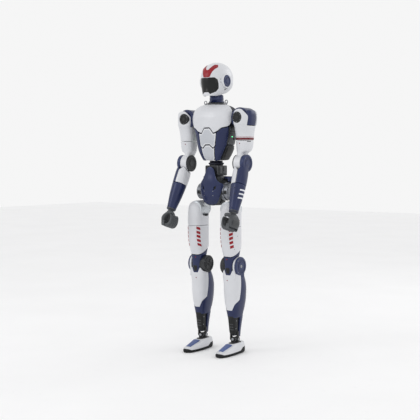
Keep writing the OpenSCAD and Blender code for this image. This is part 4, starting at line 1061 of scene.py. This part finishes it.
def under_knee():
    us = np.linspace(-math.pi, math.pi, 73) * SHIN.R
    vs = []
    for u in us:
        z = 466.0
        for _ in range(12):
            y = SHIN.raw(np.array([u]), np.array([SHIN.v_at(z)]))[0][1]
            z = 0.5 * z + 0.5 * min(498, KNEE[2] - math.sqrt(max(56**2 - y * y, 0)))
        vs.append(SHIN.v_at(z))
    return lambda u: float(np.interp(u, us, vs))


CALF, _ = faced(SHIN_RINGS, "y+")
ck, cs2 = CALF.front, CALF.side
strip = [cs2(-26, 96, -1), cs2(-26, 222, -1), cs2(-26, 222, 1), cs2(-26, 96, 1)]
pair("calf_body", "shin", NAVY, [
    tube(SHIN, SHIN.v_at(215), under_knee(), lift=-1.6, rows=30, solid=True, roll=3),
    moved(panel(CALF, strip, 9, 3, -0.5, 6, 4), TO_BACK),
    turned([(161, 0), (161, 54), (163, 55), (170, 55), (174, 52), (174, 42), (172, 41), (172, 26), (174, 25), (174, 0)],
           "x", (0, 0, KNEE[2]), 72),
    plate("x+", 171, [(2, 440), (38, 452), (38, 520), (2, 520)], 10, 2, 4, back=2)], ["calf_shell"])
pair("knee_cover_bolts", "shin", STEEL, bolts("x", (0, KNEE[2]), 47, 3.2, 173, 4, 45) + [
    turned([(172, 0), (172, 10), (175, 9), (175, 0)], "x", (0, 0, KNEE[2]), 32)])
pair("calf_lines", "shin", DEEP, [moved(panel(CALF, [ck(-LEG_X - 26, 250), ck(-LEG_X + 26, 250), ck(-LEG_X + 34, 300),
                                                     ck(-LEG_X + 34, 402), ck(-LEG_X - 34, 402), ck(-LEG_X - 34, 300)],
                                         4, 1.5, 0.4, 6, 6), TO_BACK)])
pair("calf_pad", "shin", GREY, [moved(panel(CALF, [ck(-LEG_X - 12, 286), ck(-LEG_X + 12, 286), ck(-LEG_X + 14, 318),
                                                   ck(-LEG_X - 14, 318)], 4, 2, 1.6, 5, 5), TO_BACK)])
STRUT = Loft([[112, LEG_X, -10, 24, 20, 3], [130, LEG_X, -15, 26, 23, 3], [170, LEG_X, -23, 30, 24, 3],
              [200, LEG_X, -28, 34, 25, 3], [226, LEG_X, -33, 36, 27, 3]])
pair("ankle_cover", "shin", BLACK, [tube(STRUT, 0, STRUT.v[-1], rows=16, solid=True, roll=3)] + [
    block((x, 8, 84), (x + 9, 22, 132), 1.5, 3) for x in (LEG_X - 28, LEG_X + 19)] + [
    turned([(x, 0), (x, 12), (x + 1, 13), (x + 8, 13), (x + 9, 12), (x + 9, 0)], "x", (0, ANKLE[1], ANKLE[2]), 36)
    for x in (LEG_X - 28, LEG_X + 19)], ["ankle_strut"])
pair("ankle_ribs", "shin", GUNMETAL, [panel(STRUT, [STRUT.front(LEG_X + x, z) for x, z in box_outline(-15, z0, 15, z0 + 7)],
                                           3, 1, 1, 4, 2) for z0 in (140, 156, 172)])
pair("ankle_screws", "shin", STEEL, screws(STRUT, [STRUT.side(-4, 196, 1), STRUT.side(-4, 150, 1),
                                                   STRUT.side(-4, 196, -1), STRUT.side(-4, 150, -1)], 3))
AY, AZ = ANKLE[1], ANKLE[2]
pair("ankle_joint", "ankle", STEEL, [
    turned([(LEG_X - 29, 0), (LEG_X - 29, 7), (LEG_X - 28, 8), (LEG_X + 28, 8), (LEG_X + 29, 7), (LEG_X + 29, 0)], "x",
           (0, AY, AZ), 32),
    turned([(AY - 27, 0), (AY - 27, 7), (AY - 26, 8), (AY + 26, 8), (AY + 27, 7), (AY + 27, 0)], "y", (LEG_X, 0, AZ), 32),
    block((LEG_X - 12, AY - 12, AZ - 10), (LEG_X + 12, AY + 12, AZ + 10), 2, 3)], ["ankle_cross"])

# ------------------------------------------------------------------ shoes

SHOE = Loft([[0, LEG_X, -148, 96, 38, 2.5], [5, LEG_X, -156, 102, 43, 2.5], [16, LEG_X, -158, 104, 45, 2.5],
             [25, LEG_X, -154, 104, 44, 2.5], [33, LEG_X, -130, 103, 43, 2.5], [46, LEG_X, -84, 101, 39, 2.5],
             [58, LEG_X, -42, 96, 34, 2.6], [63, LEG_X, -34, 90, 31, 2.6]])
WELT = ([-170, -158, -148, -134, 22, 46, 120], [26, 26, 22, 15, 17, 32, 34])
pair("shoe_upper", "foot", WHITE, [tube(SHOE, slanted(SHOE, *WELT, 20, 0.7), SHOE.v[-1], lift=-0.5, rows=16, solid=True,
                                       roll=2.5)], ["foot_shell"])
pair("shoe_ears", "foot", BLACK, [
    turned([(y, 0), (y, 11), (y + 1, 12), (y + 8, 12), (y + 9, 11), (y + 9, 0)], "y", (LEG_X, 0, AZ), 36)
    for y in (AY - 25, AY + 16)] + [block((LEG_X - 12, y, 55), (LEG_X + 12, y + 9, 84), 1.5, 2) for y in (AY - 25, AY + 16)]
    + [block((LEG_X - 17, AY - 40, 56), (LEG_X + 17, AY + 42, 66), 3, 8)], ["foot_shell"])
pair("shoe_sole", "foot", SOLE, [tube(SHOE, 0, slanted(SHOE, *WELT, 20, -0.7), rows=10, solid=True, roll=2)], ["foot_sole"])
pair("shoe_grip", "foot", SOLE, [tube(SHOE, SHOE.v_at(2.5) + k, SHOE.v_at(2.5) + k + 2, 3, 0.8, 0.8, 3) for k in (0, 4, 8)])
tongue = []
for k in range(9):
    t = k / 8
    y0 = -46 - 76 * t
    z0 = float(np.interp(y0, [-156, -130, -84, -42], [25, 33, 46, 58]))
    w = 20 - 6 * t
    tongue.append(sweep([(LEG_X - w, y0, z0 - 0.5), (LEG_X - w / 2, y0, z0 + 1.2), (LEG_X, y0, z0 + 1.8),
                         (LEG_X + w / 2, y0, z0 + 1.2), (LEG_X + w, y0, z0 - 0.5)], 3.0, 5.4, 14, (0, -0.94, -0.34)))
pair("shoe_tongue", "foot", TONGUE, tongue)

# ------------------------------------------------------------------ stage


def surface_material(name, color, rough):
    return material(name, color, rough, vary=0.01, wear=0.0, bump=0.01, scale=1.5, grain=60, spread=0.03)


me = bpy.data.meshes.new("floor")
g = np.linspace(-14, 14, 15)
me.from_pydata([(x, y, 0) for y in g for x in g], [], [(j * 15 + i, j * 15 + i + 1, (j + 1) * 15 + i + 1, (j + 1) * 15 + i)
                                                      for j in range(14) for i in range(14)])
me.materials.append(surface_material("floor_pale", (0.93, 0.93, 0.935), 0.8))
floor = bpy.data.objects.new("floor", me)
bpy.context.scene.collection.objects.link(floor)

world = bpy.data.worlds.new("studio")
bpy.context.scene.world = world
world.use_nodes = True
world.node_tree.nodes["Background"].inputs["Color"].default_value = (1.0, 1.0, 1.0, 1)
world.node_tree.nodes["Background"].inputs["Strength"].default_value = 0.92
middle = Vector((0, 0, 0.9))
for name, at, power, size in (("key", (-2.2, -3.4, 3.2), 20, 1.4), ("fill", (3.6, -1.8, 2.4), 6, 2.0),
                              ("rear", (1.6, 3.4, 3.0), 16, 1.8)):
    lamp = bpy.data.lights.new(name, "AREA")
    lamp.energy, lamp.size = power, size
    o = bpy.data.objects.new(name, lamp)
    o.location = at
    o.rotation_euler = (middle - Vector(at)).to_track_quat("-Z", "Y").to_euler()
    bpy.context.scene.collection.objects.link(o)

cam = bpy.data.cameras.new("camera")
cam.sensor_width, cam.lens, cam.shift_x = 36, 71.4, 0.0048
cam.clip_end = 100
view = bpy.data.objects.new("camera", cam)
view.location = (2.822, -3.985, 1.116)
view.rotation_euler = (math.radians(90 - 3.16), 0, math.radians(35.5))
bpy.context.scene.collection.objects.link(view)
bpy.context.scene.camera = view
bpy.context.scene.view_settings.view_transform = "Standard"
